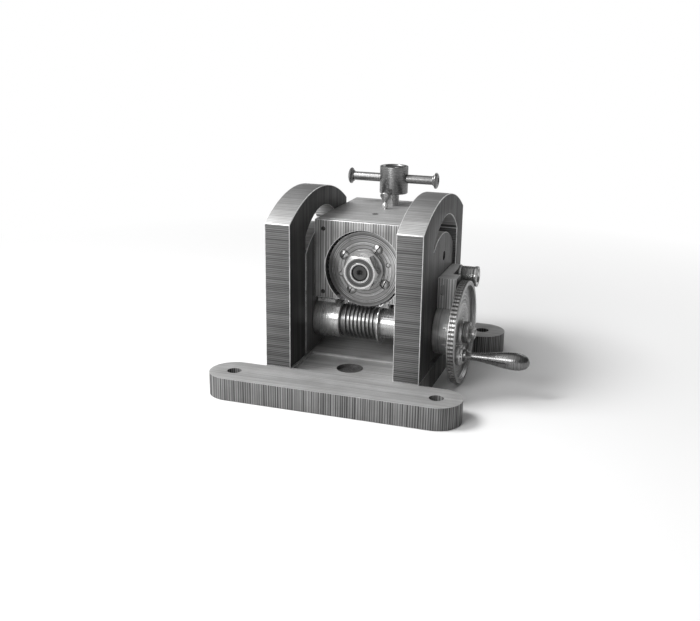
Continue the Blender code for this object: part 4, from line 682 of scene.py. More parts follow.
# ================================================================ frame: base, cheeks, nut
def make_base():
    radius = BAR_WIDTH / 2
    centre_x = BASE_HIGH.x - radius
    front_y, back_y = CHEEK_LOW.y - radius, CHEEK_HIGH.y + radius
    web_x = CHEEK_HIGH.x
    outline = ([(web_x, CHEEK_LOW.y)] + arc(centre_x, front_y, radius, 90, -90, 48)
               + arc(-centre_x, front_y, radius, 270, 90, 48)
               + [(-web_x, CHEEK_LOW.y), (-web_x, CHEEK_HIGH.y)]
               + arc(-centre_x, back_y, radius, 270, 90, 48) + arc(centre_x, back_y, radius, 90, -90, 48)
               + [(web_x, CHEEK_HIGH.y)])
    holes = [circle(sx * centre_x, y, BAR_HOLE_RADIUS, 56) for sx in (-1, 1) for y in (front_y, back_y)]
    holes.append(circle(0, SCREW_Y, NUT_WAY_RADIUS, 64))
    base = slab("base", [outline] + holes, "XY", BASE_LOW.z, BASE_HIGH.z)
    # painted shade: the front and sides of the base get a darker tone than its top
    side = planed("Z", 0.15, 0.80, 3.6 * MM)
    planed_block(base, side, side, planed("X", 0.40, 0.34, 3.0 * MM), 1.1 * MM)
    floor = BASE_HIGH.z - POCKET_DEPTH
    corner_x = CHEEK_LOW.x - POCKET_MARGIN - POCKET_CORNER
    front, back = CHEEK_LOW.y + POCKET_MARGIN + POCKET_CORNER, POCKET_BACK - POCKET_CORNER
    pocket = []
    for i, (x, y) in enumerate([(corner_x, back), (-corner_x, back), (-corner_x, front), (corner_x, front)]):
        pocket += arc(x, y, POCKET_CORNER, 90 * i, 90 * i + 90, 8)
    # painted shade: the walls of the round recess and of the bolt holes are coloured dark
    tools = [coat(slab("pocket", [pocket], "XY", floor, BASE_HIGH.z + OVERRUN),
                  planed("X", 0.42, 0.36, 3.0 * MM)),
             rod("recess", (0, RECESS_Y, floor - RECESS_DEPTH), UP, RECESS_DEPTH + OVERRUN, RECESS_RADIUS, 96,
                 shade_in_holes(0.14))]
    for i in (1, 2, 3, 4):
        bolt = middle(f"cheek_bolt_{i}")
        tools.append(rod("bolt_room", (bolt.x, bolt.y, -OVERRUN), UP, OVERRUN + BOLT_ROOM_DEPTH,
                         BOLT_ROOM_RADIUS, 48, shade_in_holes(0.12)))
        tools.append(rod("bolt_way", (bolt.x, bolt.y, 0), UP, THROUGH, 5.3 * MM, 32, shade_in_holes(0.12)))
    carve(base, *tools)
    seat(base, "frame", "casting", "base_casting")


def make_cheek(node):
    low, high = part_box(node)
    outline = ([(low.y, low.z)] + arch((low.y + high.y) / 2, (high.y - low.y) / 2, high.z, CHEEK_RISE, 96)
               + [(high.y, low.z), (WINDOW_Y + WINDOW_HALF, low.z)]
               + arch(WINDOW_Y, WINDOW_HALF, WINDOW_TOP, WINDOW_RISE, 72)[::-1]
               + [(WINDOW_Y - WINDOW_HALF, low.z)])
    cheek = slab(node + "_body", [outline], "YZ", low.x, high.x)
    # painted light and shade: the arched top is lighter at its spring and darker at its crown, and the cheek's
    # sides are far darker than its front and top
    arch_light_and_shade = (high.z - CHEEK_RISE, high.z, 1.3, 0.42)
    planed_block(cheek, planed("Z_side", 0.032, 0.75, 4.0 * MM), planed("X_upright", 0.11, 0.60, 2.8 * MM),
                 planed("X", 0.38, 0.34, 3.4 * MM, arch_light_and_shade), 1.0 * MM)
    seat(cheek, "frame", "planed", node)


def make_lift_nut():
    low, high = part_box("lift_nut")
    flange = size("lift_nut").x / 2
    profile = [(15 * MM, high.z), (15 * MM, 39.3 * MM), (flange, 39.3 * MM), (flange, 33.3 * MM),
               (16 * MM, 33.3 * MM), (16 * MM, low.z), (SCREW_BORE, low.z), (SCREW_BORE, high.z)]
    nut = lathe("lift_nut_body", profile, (0, SCREW_Y, 0), UP, 96, closed=True, round_off=0.7 * MM)
    seat(coat(nut, bronze()), "frame", "bronze", "lift_nut")


# ================================================================ head: block, plate, slides
def make_head_block():
    piece = block("head_block_body", BLOCK_LOW, BLOCK_HIGH)
    # painted light and shade: the block's sides, front and top each get their own tone, darkest at the sides
    # and lightest on top
    planed_block(piece, planed("Z_side", 0.12, 0.5), planed("Z", 0.26, 0.5, 4.0 * MM),
                 planed("X", 0.40, 0.38))
    front = (0, BLOCK_LOW.y - OVERRUN, SPINDLE_Z)
    reach = OVERRUN - BLOCK_LOW.y
    wheel_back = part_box("worm_wheel")[1].y
    bush_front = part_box("spindle_front_bush")[0].y
    # painted shade: the hollow for the wheel, the seats and the small holes are coloured near black
    dark = shade_in_holes(0.07, 0.7, 0.3)
    mouth = [(0, 6 * MM), (6 * MM, 6 * MM), (5 * MM, 0), (4.6 * MM, -4 * MM), (0, -4.4 * MM)]
    carve(piece,
          rod("hollow", front, BACK, reach + wheel_back + 2 * MM, size("worm_wheel").x / 2 + 2.5 * MM, 128,
              dark),
          rod("flange_seat", front, BACK, reach + bush_front + 4.3 * MM, 25.7 * MM, 64, dark),
          rod("bush_seat", front, BACK, reach + 98 * MM, 20.7 * MM, 64, dark),
          rod("screw_way", (0, SCREW_Y, 0), UP, 0.5, 9.4 * MM, 64, planed("Z", 0.25)),
          rod("lock_way", (LOCK_X, LOCK_Y, SPINDLE_Z), UP, 0.2, 3.3 * MM, 32, dark),
          rod("oil_way", (*OIL_HOLE, SPINDLE_Z), UP, 0.2, 2.5 * MM, 32, dark),
          coat(lathe("oil_mouth", mouth, (*OIL_HOLE, BLOCK_HIGH.z), UP, 48), dark))
    seat(piece, "head", "planed", "head_block")


def make_front_plate():
    half_angle = math.degrees(math.acos((SPINDLE_Z - PLATE_LOW.z) / PLATE_OPENING_RADIUS))
    opening = arc(0, SPINDLE_Z, PLATE_OPENING_RADIUS, 270 - half_angle, half_angle - 90, 128)
    outline = ([(PLATE_LOW.x, PLATE_LOW.z)] + opening
               + [(PLATE_HIGH.x, PLATE_LOW.z), (PLATE_HIGH.x, PLATE_HIGH.z), (PLATE_LOW.x, PLATE_HIGH.z)])
    plate = slab("front_plate_body", [outline], "XZ", -PLATE_HIGH.y, -PLATE_LOW.y)
    # painted light and shade: the plate's sides, front and top each get their own tone, darkest at the sides
    # and lightest on top
    planed_block(plate, planed("Z_side", 0.12, 0.5), planed("Z", 0.30, 0.68, 4.0 * MM),
                 planed("X", 0.46, 0.3), 0.8 * MM)
    for i in (1, 2, 3, 4):
        x, _, z = middle(f"plate_screw_{i}")
        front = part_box(f"plate_screw_{i}")[0].y + 2.4 * MM
        # painted shade: the screw seats are coloured dark
        carve(plate, rod("screw_seat", (x, PLATE_LOW.y - 3 * MM, z), BACK, 6 * MM, 3.5 * MM, 40, shade_in_holes(0.08)))
        black_screw(f"plate_screw_{i}", 3.2 * MM, 2.4 * MM, (x, front, z), FRONT, 47 * i - 17, 0.04,
                    dome=0.4 * MM, slot=(0.9 * MM, 1.1 * MM))
    seat(plate, "head", "planed", "front_plate")


def make_slide(node, side):
    low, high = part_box(node)
    centre = (low.y + high.y) / 2
    outline = ([(low.y, low.z)] + arch(centre, (high.y - low.y) / 2, high.z, WINDOW_RISE - 0.6 * MM, 72)
               + [(high.y, low.z)])
    slide = slab(node + "_body", [outline], "YZ", low.x, high.x)
    # painted light and shade: the slide's sides, front and top each get their own tone, darkest at the sides
    # and lightest on top
    planed_block(slide, planed("Z_side", 0.12, 0.6, 3.6 * MM), planed("Z", 0.22, 0.45),
                 planed("X", 0.45, 0.3))
    outer = high.x if side > 0 else low.x
    # painted shade: the screw seats and the shaft's way are coloured dark
    for y, z in SLIDE_SCREW_PLACES:
        carve(slide, rod("screw_seat", (outer - side * 9 * MM, y, z), RIGHT * side, 15 * MM, 7.3 * MM, 56,
                         shade_in_holes(0.08)))
    if side > 0:
        carve(slide, rod("shaft_way", (low.x - OVERRUN, WORM_Y, WORM_Z), RIGHT, THROUGH, 12 * MM, 64,
                         shade_in_holes(0.1)))
    seat(slide, "head", "casting", node)


def make_slide_screws():
    places = [(side, y, z) for side in (-1, 1) for y, z in SLIDE_SCREW_PLACES]
    for i, (side, y, z) in enumerate(places, 1):
        low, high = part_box(f"slide_screw_{i}")
        outer = high.x if side > 0 else low.x
        black_screw(f"slide_screw_{i}", 7 * MM, 7 * MM, (outer - side * 7 * MM, y, z), RIGHT * side,
                    25 + 65 * i, 0.06)


# ================================================================ head: bearings, bracket, drum
def make_bearing(side, name):
    node = f"{name}_worm_bearing"
    low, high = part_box(node)
    start = (low.x, WORM_Y, WORM_Z)
    outer = low.x if side < 0 else high.x
    flange_low, flange_high = sorted((side * BEARING_FLANGE_INNER, outer))
    boss_radius = LEFT_BOSS_RADIUS if side < 0 else RIGHT_BOSS_RADIUS
    flange_bottom = high.z - BEARING_FLANGE
    bearing = rod(f"{name}_bearing_body", start, RIGHT, high.x - low.x, boss_radius, 128, round_off=1.6 * MM)
    flange = block("flange", (flange_low, WORM_Y - 7 * MM, flange_bottom), (flange_high, high.y, high.z))
    soften(flange, 0.6 * MM, 2)
    web = block("web", (max(flange_low, low.x) + 1.5 * MM, WORM_Y - WEB_HALF, WORM_Z),
                (min(flange_high, high.x) - 1.5 * MM, WORM_Y + WEB_HALF, flange_bottom + 2 * MM))
    carve(bearing, flange, web, mode="UNION")
    if side > 0:
        carve(bearing, rod("thrust", start, RIGHT, THRUST_THICK, THRUST_RADIUS, 128, round_off=0.4 * MM),
              mode="UNION")
    carve(bearing,
          rod("bore", (low.x - OVERRUN, WORM_Y, WORM_Z), RIGHT, high.x - low.x + 2 * OVERRUN, 15.7 * MM, 72),
          rod("relief", (0, -0.1, SPINDLE_Z), BACK, 0.25, size("worm_wheel").x / 2 + 1.5 * MM, 160))
    coat(bearing, turned_steel("bearing", WORM_LINE))
    seat(bearing, "head", "casting", node)


def make_bush(name):
    low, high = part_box(f"{name}_worm_bush")
    profile = ring((high.z - low.z) / 2, SHAFT_BUSH_BORE, high.x - low.x)
    bush = lathe(f"{name}_bush_body", profile, (low.x, WORM_Y, WORM_Z), RIGHT, 72, closed=True,
                 round_off=0.5 * MM)
    seat(coat(bush, bronze()), "head", "bronze", f"{name}_worm_bush")


def make_bracket():
    low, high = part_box("bearing_bracket")
    body = block("bearing_bracket_body", (low.x, low.y + 0.3 * MM, low.z),
                 (low.x + BRACKET_THICK, high.y, high.z - 0.3 * MM))
    nose = block("nose", (low.x + 1 * MM, low.y, WORM_Z), (high.x, low.y + 30.3 * MM, high.z))
    soften(nose, 1.2 * MM)
    soften(body, 0.8 * MM)
    carve(body, nose, mode="UNION")
    slot = slab("slot", [obround(low.x + 7.5 * MM, 145.5 * MM, 2.5 * MM, 8.5 * MM)], "XZ",
                -low.y - OVERRUN, -low.y + OVERRUN)
    start = low.x - OVERRUN
    # painted shade: the walls of the slot are coloured near black
    carve(body, rod("drum_seat", (start, WORM_Y, WORM_Z), RIGHT, THROUGH, DRUM_RADIUS + 0.3 * MM, 128),
          coat(slot, shade_in_holes(0.05)), rod("clamp_way", (start, CLAMP_Y, CLAMP_Z), RIGHT, THROUGH, CLAMP_BORE, 40))
    for i in (1, 2):
        node = f"bracket_screw_{i}"
        _, y, z = middle(node)
        carve(body, rod("screw_way", (start, y, z), RIGHT, THROUGH, 3.3 * MM, 32))
        black_screw(node, 6 * MM, 4 * MM, (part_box(node)[1].x - 4 * MM, y, z), RIGHT, 35 + 70 * i, 0.06)
    # painted light and shade: the bracket's sides get a far darker tone than its front and top
    coat_and_shade_by_side(body, planed("Z_side", 0.13, 0.6), planed("Z", 0.72, 0.5, 4.0 * MM), planed("X", 0.66, 0.25),
                 keep=False)
    seat(body, "head", "casting", "bearing_bracket")


def make_index_drum():
    low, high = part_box("index_drum")
    length = high.x - low.x

    def graduated(radius, height, angle):
        if radius < DRUM_RADIUS - 0.5 * MM:
            return radius, height
        ticks = angle / (2 * math.pi) * DRUM_TICKS
        place = ticks % 1
        long_mark = 11 * MM if int(ticks + 0.5) % DRUM_TICKS % 5 == 0 else 7 * MM
        near_tick = min(place, 1 - place) * 2 * math.pi * DRUM_RADIUS / DRUM_TICKS < 0.42 * MM
        inside = length - 1.2 * MM - long_mark < height < length - 1.4 * MM
        return (radius - 0.35 * MM if near_tick and inside else radius), height

    heights = [length - 1.0 * MM, length - 1.6 * MM, length - 8.1 * MM, length - 8.3 * MM,
               length - 12.1 * MM, length - 12.3 * MM, 1 * MM]
    profile = ([(12 * MM, length), (DRUM_RADIUS - 1 * MM, length)] + [(DRUM_RADIUS, h) for h in heights]
               + [(DRUM_RADIUS - 1 * MM, 0), (SHAFT_BUSH_BORE, 0), (SHAFT_BUSH_BORE, length - 1 * MM)])
    drum = turn("index_drum_body", profile, WORM_LINE, low.x, "drum", DRUM_TICKS * STEPS_PER_TICK,
                closed=True, shape=graduated)
    seat(drum, "head", "planed", "index_drum")


def make_spindle_bushes():
    low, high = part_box("spindle_front_bush")
    length = high.y - low.y
    flange = size("spindle_front_bush").x / 2
    profile = [(20.4 * MM, length), (20.4 * MM, 4 * MM), (flange, 4 * MM), (flange, 0),
               (SPINDLE_BUSH_BORE, 0), (SPINDLE_BUSH_BORE, length)]
    front = lathe("front_bush_body", profile, (0, low.y, SPINDLE_Z), BACK, 72, closed=True,
                  round_off=0.5 * MM)
    seat(coat(front, bronze()), "head", "bronze", "spindle_front_bush")
    coat(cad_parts["spindle_rear_bush"], bronze())


# ================================================================ spindle
def make_wheel():
    low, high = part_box("worm_wheel")
    pitch_radius = WORM_MODULE * WHEEL_TEETH / 2
    # one flank from root to tip: modules outside the pitch circle, quarters of a pitch from the tooth's middle
    flank = [(-1.25, 1.45), (-0.9, 1.24), (0, 0.72), (0.8, 0.42), (1, 0.26)]
    tooth_outline = [(out, -aside) for out, aside in flank] + flank[::-1]
    outline = []
    for tooth in range(WHEEL_TEETH):
        for out, aside in tooth_outline:
            angle = math.radians(-90 + 360 / WHEEL_TEETH * (tooth + aside / 4))
            radius = pitch_radius + out * WORM_MODULE
            outline.append((radius * math.cos(angle), SPINDLE_Z + radius * math.sin(angle)))
    bore = circle(0, SPINDLE_Z, SPINDLE_BORE, 64)
    wheel = slab("worm_wheel_body", [outline, bore], "XZ", -high.y, -low.y)
    coat(wheel, turned_steel("worm_wheel", SPINDLE_LINE))
    seat(wheel, "spindle", "bronze", "worm_wheel")


def on_cap(angle):
    """X and Z of a point on the circle of the cap's screws and dowels."""
    turned = math.radians(angle)
    return CAP_PITCH_RADIUS * math.cos(turned), SPINDLE_Z + CAP_PITCH_RADIUS * math.sin(turned)


def make_cap():
    low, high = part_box("wheel_cap")
    profile = ring(size("wheel_cap").x / 2, SPINDLE_BORE, high.y - low.y)
    cap = turn("cap_disc", profile, SPINDLE_LINE, high.y, "cap", 192, flip=True, closed=True,
               round_off=0.9 * MM)
    for i, angle in enumerate(CAP_SCREW_ANGLES):
        x, z = on_cap(angle)
        # painted shade: the walls of each spot face are coloured dark
        carve(cap, rod("spot_face", (x, low.y - 1 * MM, z), BACK, 1.5 * MM, 8.0 * MM, 64, black_finish_and_shade(0.10)))
        seat_y = low.y + 0.5 * MM
        node = f"cap_screw_{i + 1}"
        # painted shade: the screw's slot is coloured near black
        head = slotted_head(f"cap_screw_head_{i + 1}", 7.0 * MM, seat_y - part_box(node)[0].y, (x, seat_y, z),
                            FRONT, 55 + 4 * i, turned_steel("cap_screw", ("Y", (x, 0, z))), 1.9 * MM,
                            (1.9 * MM, 2.4 * MM), black_finish_and_shade(0.03))
        seat(head, "spindle", "bright", node)
    for i, angle in enumerate(CAP_DOWEL_ANGLES):
        x, z = on_cap(angle)
        # painted shade: the mouth of each dowel hole is coloured dark
        carve(cap, rod("dowel_mouth", (x, low.y - 1 * MM, z), BACK, 2.2 * MM, 3.9 * MM, 48, black_finish_and_shade(0.10)))
        profile = [(0, 0), (2.4 * MM, 0), (3 * MM, 0.6 * MM), (3 * MM, 8 * MM), (0, 8 * MM)]
        dowel = turn(f"dowel_end_{i + 1}", profile, ("Y", (x, 0, z)), low.y + 0.2 * MM, "dowel", 40)
        seat(dowel, "spindle", "dark", f"cap_dowel_{i + 1}")
    seat(cap, "spindle", "bright", "wheel_cap")


def make_spindle_nut():
    low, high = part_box("spindle_washer")
    profile = ring(size("spindle_washer").x / 2, SPINDLE_BORE, high.y - low.y)
    washer = turn("washer", profile, SPINDLE_LINE, high.y, "washer", 128, flip=True, closed=True,
                  round_off=0.8 * MM)
    seat(washer, "spindle", "bright", "spindle_washer")

    low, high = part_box("spindle_nut")
    flats = size("spindle_nut").z / 2
    thick = high.y - low.y
    hexagon = circle(0, SPINDLE_Z, flats / math.cos(math.radians(30)), 6)
    nut = slab("hexagon_nut", [hexagon], "XZ", -high.y, -low.y)
    soften(nut, 0.8 * MM, 2, edge_slot=1)
    edges = [face.material_index for face in nut.data.polygons]
    # the nut's rounded edges take the bright edge colour: painted highlight as well as wear
    coat(nut, turned_steel("nut_flank", SPINDLE_LINE), edge_wear_and_highlight())
    nut.data.polygons.foreach_set("material_index", edges)
    ledge = flats - 2.6 * MM
    face_at = thick - NUT_FACE_SINK
    crown = [(0, -1 * MM), (flats + 8 * MM, -1 * MM), (flats + 8 * MM, thick - 5.5 * MM),
             (flats - 1.0 * MM, thick), (ledge, thick), (ledge - 0.5 * MM, face_at), (0, face_at)]
    # painted light and shade: the nut's front face gets a very dark copy of its steel and its chamfer a very
    # bright one
    crown_tool = coat(lathe("crown", crown, (0, high.y, SPINDLE_Z), FRONT, 128),
                      turned_steel("nut_face", SPINDLE_LINE), turned_steel("nut_chamfer_highlight", SPINDLE_LINE))
    for face in crown_tool.data.polygons:
        if math.hypot(face.center.x, face.center.z - SPINDLE_Z) > ledge - 0.4 * MM:
            face.material_index = 1
    carve(nut, crown_tool, mode="INTERSECT")
    way = SPINDLE_THREAD_RADIUS + 0.4 * MM
    mouth = [(0, OVERRUN), (way, OVERRUN), (way, -thick - OVERRUN), (0, -thick - OVERRUN)]
    # painted shade: the nut's bore is coloured dark
    carve(nut, coat(lathe("mouth", mouth, (0, low.y, SPINDLE_Z), FRONT, 96), black_finish_and_shade(0.10)))
    seat(nut, "spindle", "bright", "spindle_nut")
    ring_back = NUT_FACE_SINK + 1.5 * MM
    profile = [(NUT_RING_RADIUS, 0.2 * MM), (way + 0.4 * MM, 0.2 * MM), (way + 0.4 * MM, ring_back),
               (NUT_RING_RADIUS, ring_back)]
    raised = turn("nut_face_ring", profile, SPINDLE_LINE, low.y, "nut_ring", 96, closed=True,
                  round_off=0.5 * MM)
    seat(raised, "spindle", "bright")


def make_spindle():
    low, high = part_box("spindle")
    length = high.y - low.y
    seat_at = middle("spindle_washer").y - low.y
    flange_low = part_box("worm_wheel")[1].y + 0.3 * MM - low.y
    flange = size("spindle").x / 2
    t = SPINDLE_THREAD_RADIUS - 0.05 * MM
    profile = [(0, length - 2 * MM), (3 * MM, length), (15 * MM, length), (15 * MM, flange_low + 5 * MM),
               (flange, flange_low + 5 * MM), (flange, flange_low), (16 * MM, flange_low), (16 * MM, seat_at),
               (t, seat_at), (t, 1.2 * MM), (t - 1.2 * MM, 0), (4.5 * MM, 0), (0.8 * MM, 6 * MM), (0, 6 * MM)]
    # painted shade: the spindle is coloured near black, for its end seen inside the nut
    spindle = turn("spindle_body", profile, SPINDLE_LINE, low.y, "spindle", 96, round_off=0.5 * MM)
    seat(spindle, "spindle", "bright", "spindle")


# ================================================================ worm shaft, handwheel, crank
def make_worm():
    low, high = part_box("worm")
    pitch = math.pi * WORM_MODULE
    root = WORM_PITCH_RADIUS - 1.25 * WORM_MODULE
    tip = WORM_PITCH_RADIUS + WORM_MODULE
    profile = ring(root, SHAFT_RADIUS + 0.3 * MM, high.x - low.x)
    core = turn("worm_core", profile, WORM_LINE, low.x, "worm", 128, closed=True, round_off=0.6 * MM)
    seat(core, "worm_shaft", "bright", "worm")
    # the thread passes straight above the axis half a pitch to the right of the wheel's lowest tooth
    steps = 96
    sink = 0.6 * MM
    half_root = 0.52 * pitch / 2 + 0.35 * MM
    first = math.floor((low.x + half_root + sink - pitch / 2) / pitch * steps) + 1
    last = math.floor((high.x - half_root - sink - pitch / 2) / pitch * steps)
    # half of the thread's section: the radius, and the distance from its middle in mm
    flank = [(root - sink, 2.15), (root, 1.93), (tip - 0.35 * WORM_MODULE, 0.78), (tip, 0.5)]
    section = flank + [(radius, -half) for radius, half in flank[::-1]]
    rows = []
    for i in range(first, last + 1):
        angle = math.pi / 2 + 2 * math.pi * i / steps
        x = pitch / 2 + pitch * i / steps
        fade = min(1.0, (min(i - first, last - i) + 1) / (steps * 0.3))
        crest = root - sink + (tip - root + sink) * fade
        row = []
        for radius, half in section:
            r = min(radius, crest) if radius > root else radius
            row.append((x - half * MM, WORM_Y + r * math.cos(angle), WORM_Z + r * math.sin(angle)))
        rows.append(row)
    thread = coat(skin("worm_thread", rows, 30), turned_steel("worm", WORM_LINE))
    seat(thread, "worm_shaft", "bright")


def make_worm_shaft():
    low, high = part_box("worm_shaft")
    hub_low, hub_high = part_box("handwheel")
    length = high.x - low.x
    seat_at = hub_low.x - 0.3 * MM - low.x
    thread_at = hub_high.x - 0.7 * MM - low.x
    profile = [(0, length), (5 * MM, length), (6 * MM, length - 1 * MM), (6 * MM, thread_at),
               (9 * MM, thread_at), (9 * MM, seat_at), (SHAFT_RADIUS, seat_at), (SHAFT_RADIUS, 1 * MM),
               (9 * MM, 0), (0, 0)]
    seat(turn("worm_shaft_body", profile, WORM_LINE, low.x, "shaft", 72), "worm_shaft", "bright",
         "worm_shaft")


def make_handwheel():
    low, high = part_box("handwheel")
    rim = size("handwheel").z / 2
    rim_low, rim_high = (x - low.x for x in HANDWHEEL_RIM)
    web_low, web_high = (x - low.x for x in HANDWHEEL_WEB)
    hub_high = high.x - low.x
    inner = rim - 7 * MM
    hub = 17.5 * MM
    bore = 9.3 * MM
    margin = 1.5 * MM
    chamfer = 0.6 * MM

    def graduated(radius, height, angle):
        if radius < rim - 0.2 * MM:
            return radius, height
        place = (angle / (2 * math.pi) * RIM_TICKS) % 1
        groove = 0.30 < place < 0.68 and rim_low + margin + 0.1 * MM < height < rim_high - margin - 0.1 * MM
        return (radius - 0.75 * MM if groove else radius), height

    outer = [(rim - chamfer, rim_high), (rim, rim_high - chamfer), (rim, rim_high - margin),
             (rim, rim_high - margin - 0.25 * MM), (rim, rim_low + margin + 0.25 * MM),
             (rim, rim_low + margin), (rim, rim_low + chamfer), (rim - chamfer, rim_low)]
    inside = fillet([(inner, rim_low), (inner - 1 * MM, web_low), (hub, web_low), (hub, 0), (bore, 0),
                     (bore, hub_high), (hub - 1 * MM, hub_high), (hub - 1 * MM, web_high + 3 * MM),
                     (hub + 3 * MM, web_high), (inner - 1.5 * MM, web_high), (inner, rim_high)], 1.2 * MM, 4)
    wheel = turn("handwheel_body", outer + inside, WORM_LINE, low.x, "handwheel", RIM_TICKS * STEPS_PER_TICK,
                 closed=True, shape=graduated)
    carve(wheel, rod("crank_way", (low.x - OVERRUN, CRANK_Y, CRANK_Z), RIGHT, 40 * MM, 5.3 * MM, 48))
    coat(wheel, turned_steel("handwheel", WORM_LINE), black_finish_and_shade(0.07))
    for face in wheel.data.polygons:
        reach = math.hypot(face.center.y - WORM_Y, face.center.z - WORM_Z)
        if rim - 1.2 * MM < reach < rim - 0.2 * MM and abs(face.normal.x) < 0.5:
            face.material_index = 1
    seat(wheel, "worm_shaft", "bright", "handwheel")

    low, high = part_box("handwheel_nut")
    outlines = [circle(WORM_Y, WORM_Z, size("handwheel_nut").y / 2, 6), circle(WORM_Y, WORM_Z, 6.3 * MM, 40)]
    nut = slab("shaft_nut", outlines, "YZ", low.x, high.x)
    soften(nut, 0.4 * MM, 2)
    coat(nut, turned_steel("shaft_nut", WORM_LINE))
    seat(nut, "worm_shaft", "bright", "handwheel_nut")


def make_crank():
    low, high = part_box("crank_pin")
    grip_low, grip_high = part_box("crank_grip")
    length = high.x - low.x
    collar_end = grip_low.x - 0.4 * MM - low.x
    step_start = collar_end - 4 * MM
    web = HANDWHEEL_WEB[1] + 0.3 * MM - low.x
    profile = [(0, length), (4 * MM, length), (4 * MM, collar_end), (12.5 * MM, collar_end),
               (12.5 * MM, step_start), (16 * MM, step_start), (16 * MM, web), (5 * MM, web), (5 * MM, 0),
               (0, 0)]
    pin = turn("crank_pin_body", profile, CRANK_LINE, low.x, "crank_pin", 96, round_off=1.1 * MM)
    seat(pin, "worm_shaft", "bright", "crank_pin")

    grip_length = grip_high.x - grip_low.x
    # share of the grip's length, and the radius there in mm
    shape = [(0, 9.4), (0.02, 9.5), (0.04, 9.3), (0.055, 7.4), (0.08, 6.3), (0.12, 5.9), (0.16, 5.8),
             (0.22, 6.2), (0.3, 7.2), (0.38, 8.3), (0.45, 9.4), (0.53, 10.7), (0.6, 11.8), (0.67, 12.6),
             (0.74, 13.0), (0.80, 12.95), (0.86, 12.3), (0.905, 11.2), (0.94, 9.7), (0.965, 7.9),
             (0.985, 5.2), (0.995, 2.8)]
    outside = [(radius * MM, share * grip_length) for share, radius in shape[::-1]]
    profile = [(0, grip_length)] + outside + [(4.4 * MM, 0), (4.4 * MM, 80.4 * MM), (0, 80.4 * MM)]
    seat(turn("crank_grip_body", profile, CRANK_LINE, grip_low.x, "grip", 96), "crank_grip", "bright",
         "crank_grip")


# ================================================================ lift screw, tommy bar
def thread_ridge(name, start, crest, length, steps):
    """A right-handed ridge with a flat crest up the lift screw, sunk a little into the screw's core."""
    count = int(length / LIFT_PITCH * steps)
    inner = SCREW_ROOT - 0.25 * MM
    half_root, half_crest = LIFT_PITCH * 0.31, LIFT_PITCH * 0.11
    corner = min(0.25 * MM, half_crest * 0.6)
    rows = []
    for i in range(count + 1):
        angle = 2 * math.pi * i / steps
        height = start + LIFT_PITCH * i / steps
        fade = min(1.0, (min(i, count - i) + 1) / (steps * 0.6))
        outer = inner + (crest - inner) * fade
        lower = [(inner, half_root), (outer - corner, half_crest + corner * 0.35),
                 (outer, half_crest - corner)]
        section = [(r, -h) for r, h in lower] + lower[::-1]
        rows.append([(r * math.cos(angle), SCREW_Y + r * math.sin(angle), height + h) for r, h in section])
    return skin(name, rows, 40)


def make_lift_screw():
    low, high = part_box("lift_screw")
    top = high.z
    stem_low = BLOCK_LOW.z - 12 * MM
    profile = [(0, top), (7.6 * MM, top), (SCREW_RADIUS, top - 1 * MM), (SCREW_RADIUS, stem_low),
               (SCREW_ROOT, stem_low - 1 * MM), (SCREW_ROOT, low.z + 1 * MM), (SCREW_ROOT - 1 * MM, low.z),
               (0, low.z)]
    screw = turn("lift_screw_body", profile, SCREW_LINE, 0, "lift_screw", 72)
    carve(screw, rod("bar_way", (-0.05, SCREW_Y, BAR_Z), RIGHT, 0.1, BAR_BORE, 48))
    steel = turned_steel("lift_screw", SCREW_LINE)
    seat(coat(screw, steel), "lift_screw", "bright", "lift_screw")
    ridge = thread_ridge("lift_screw_thread", low.z + 4 * MM, 8.98 * MM, stem_low - low.z - 8 * MM, 48)
    seat(coat(ridge, steel), "lift_screw", "bright")

    low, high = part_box("stop_collar")
    radius = size("stop_collar").x / 2
    profile = [(radius, high.z), (radius, low.z), (SCREW_BORE, low.z), (SCREW_BORE, high.z)]
    collar = turn("stop_collar_body", profile, SCREW_LINE, 0, "lift_screw", 72, closed=True,
                  round_off=0.8 * MM)
    seat(collar, "lift_screw", "bright", "stop_collar")

    low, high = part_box("lever_hub")
    radius = size("lever_hub").x / 2
    height = high.z - low.z
    profile = [(radius, height), (radius, 0), (SCREW_BORE, 0), (SCREW_BORE, height - 3.4 * MM),
               (radius - 4.5 * MM, height - 2.4 * MM), (radius - 3 * MM, height)]
    hub = turn("lever_hub_body", profile, SCREW_LINE, low.z, "hub", 128, closed=True, round_off=1.2 * MM)
    carve(hub, rod("bar_way", (-0.05, SCREW_Y, BAR_Z), RIGHT, 0.1, BAR_BORE, 64),
          rod("pin_way", (0, SCREW_Y - 0.05, middle("hub_pin").z), BACK, 0.1, 2.3 * MM, 32))
    seat(coat(hub, turned_steel("hub", SCREW_LINE)), "lift_screw", "bright", "lever_hub")
    for node in ("hub_pin", "collar_pin"):
        low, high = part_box(node)
        pin = rod(node + "_body", (0, low.y, middle(node).z), BACK, high.y - low.y, 2 * MM, 32,
                  black_finish_and_shade(0.08), 0.4 * MM)
        seat(pin, "lift_screw", "dark", node)


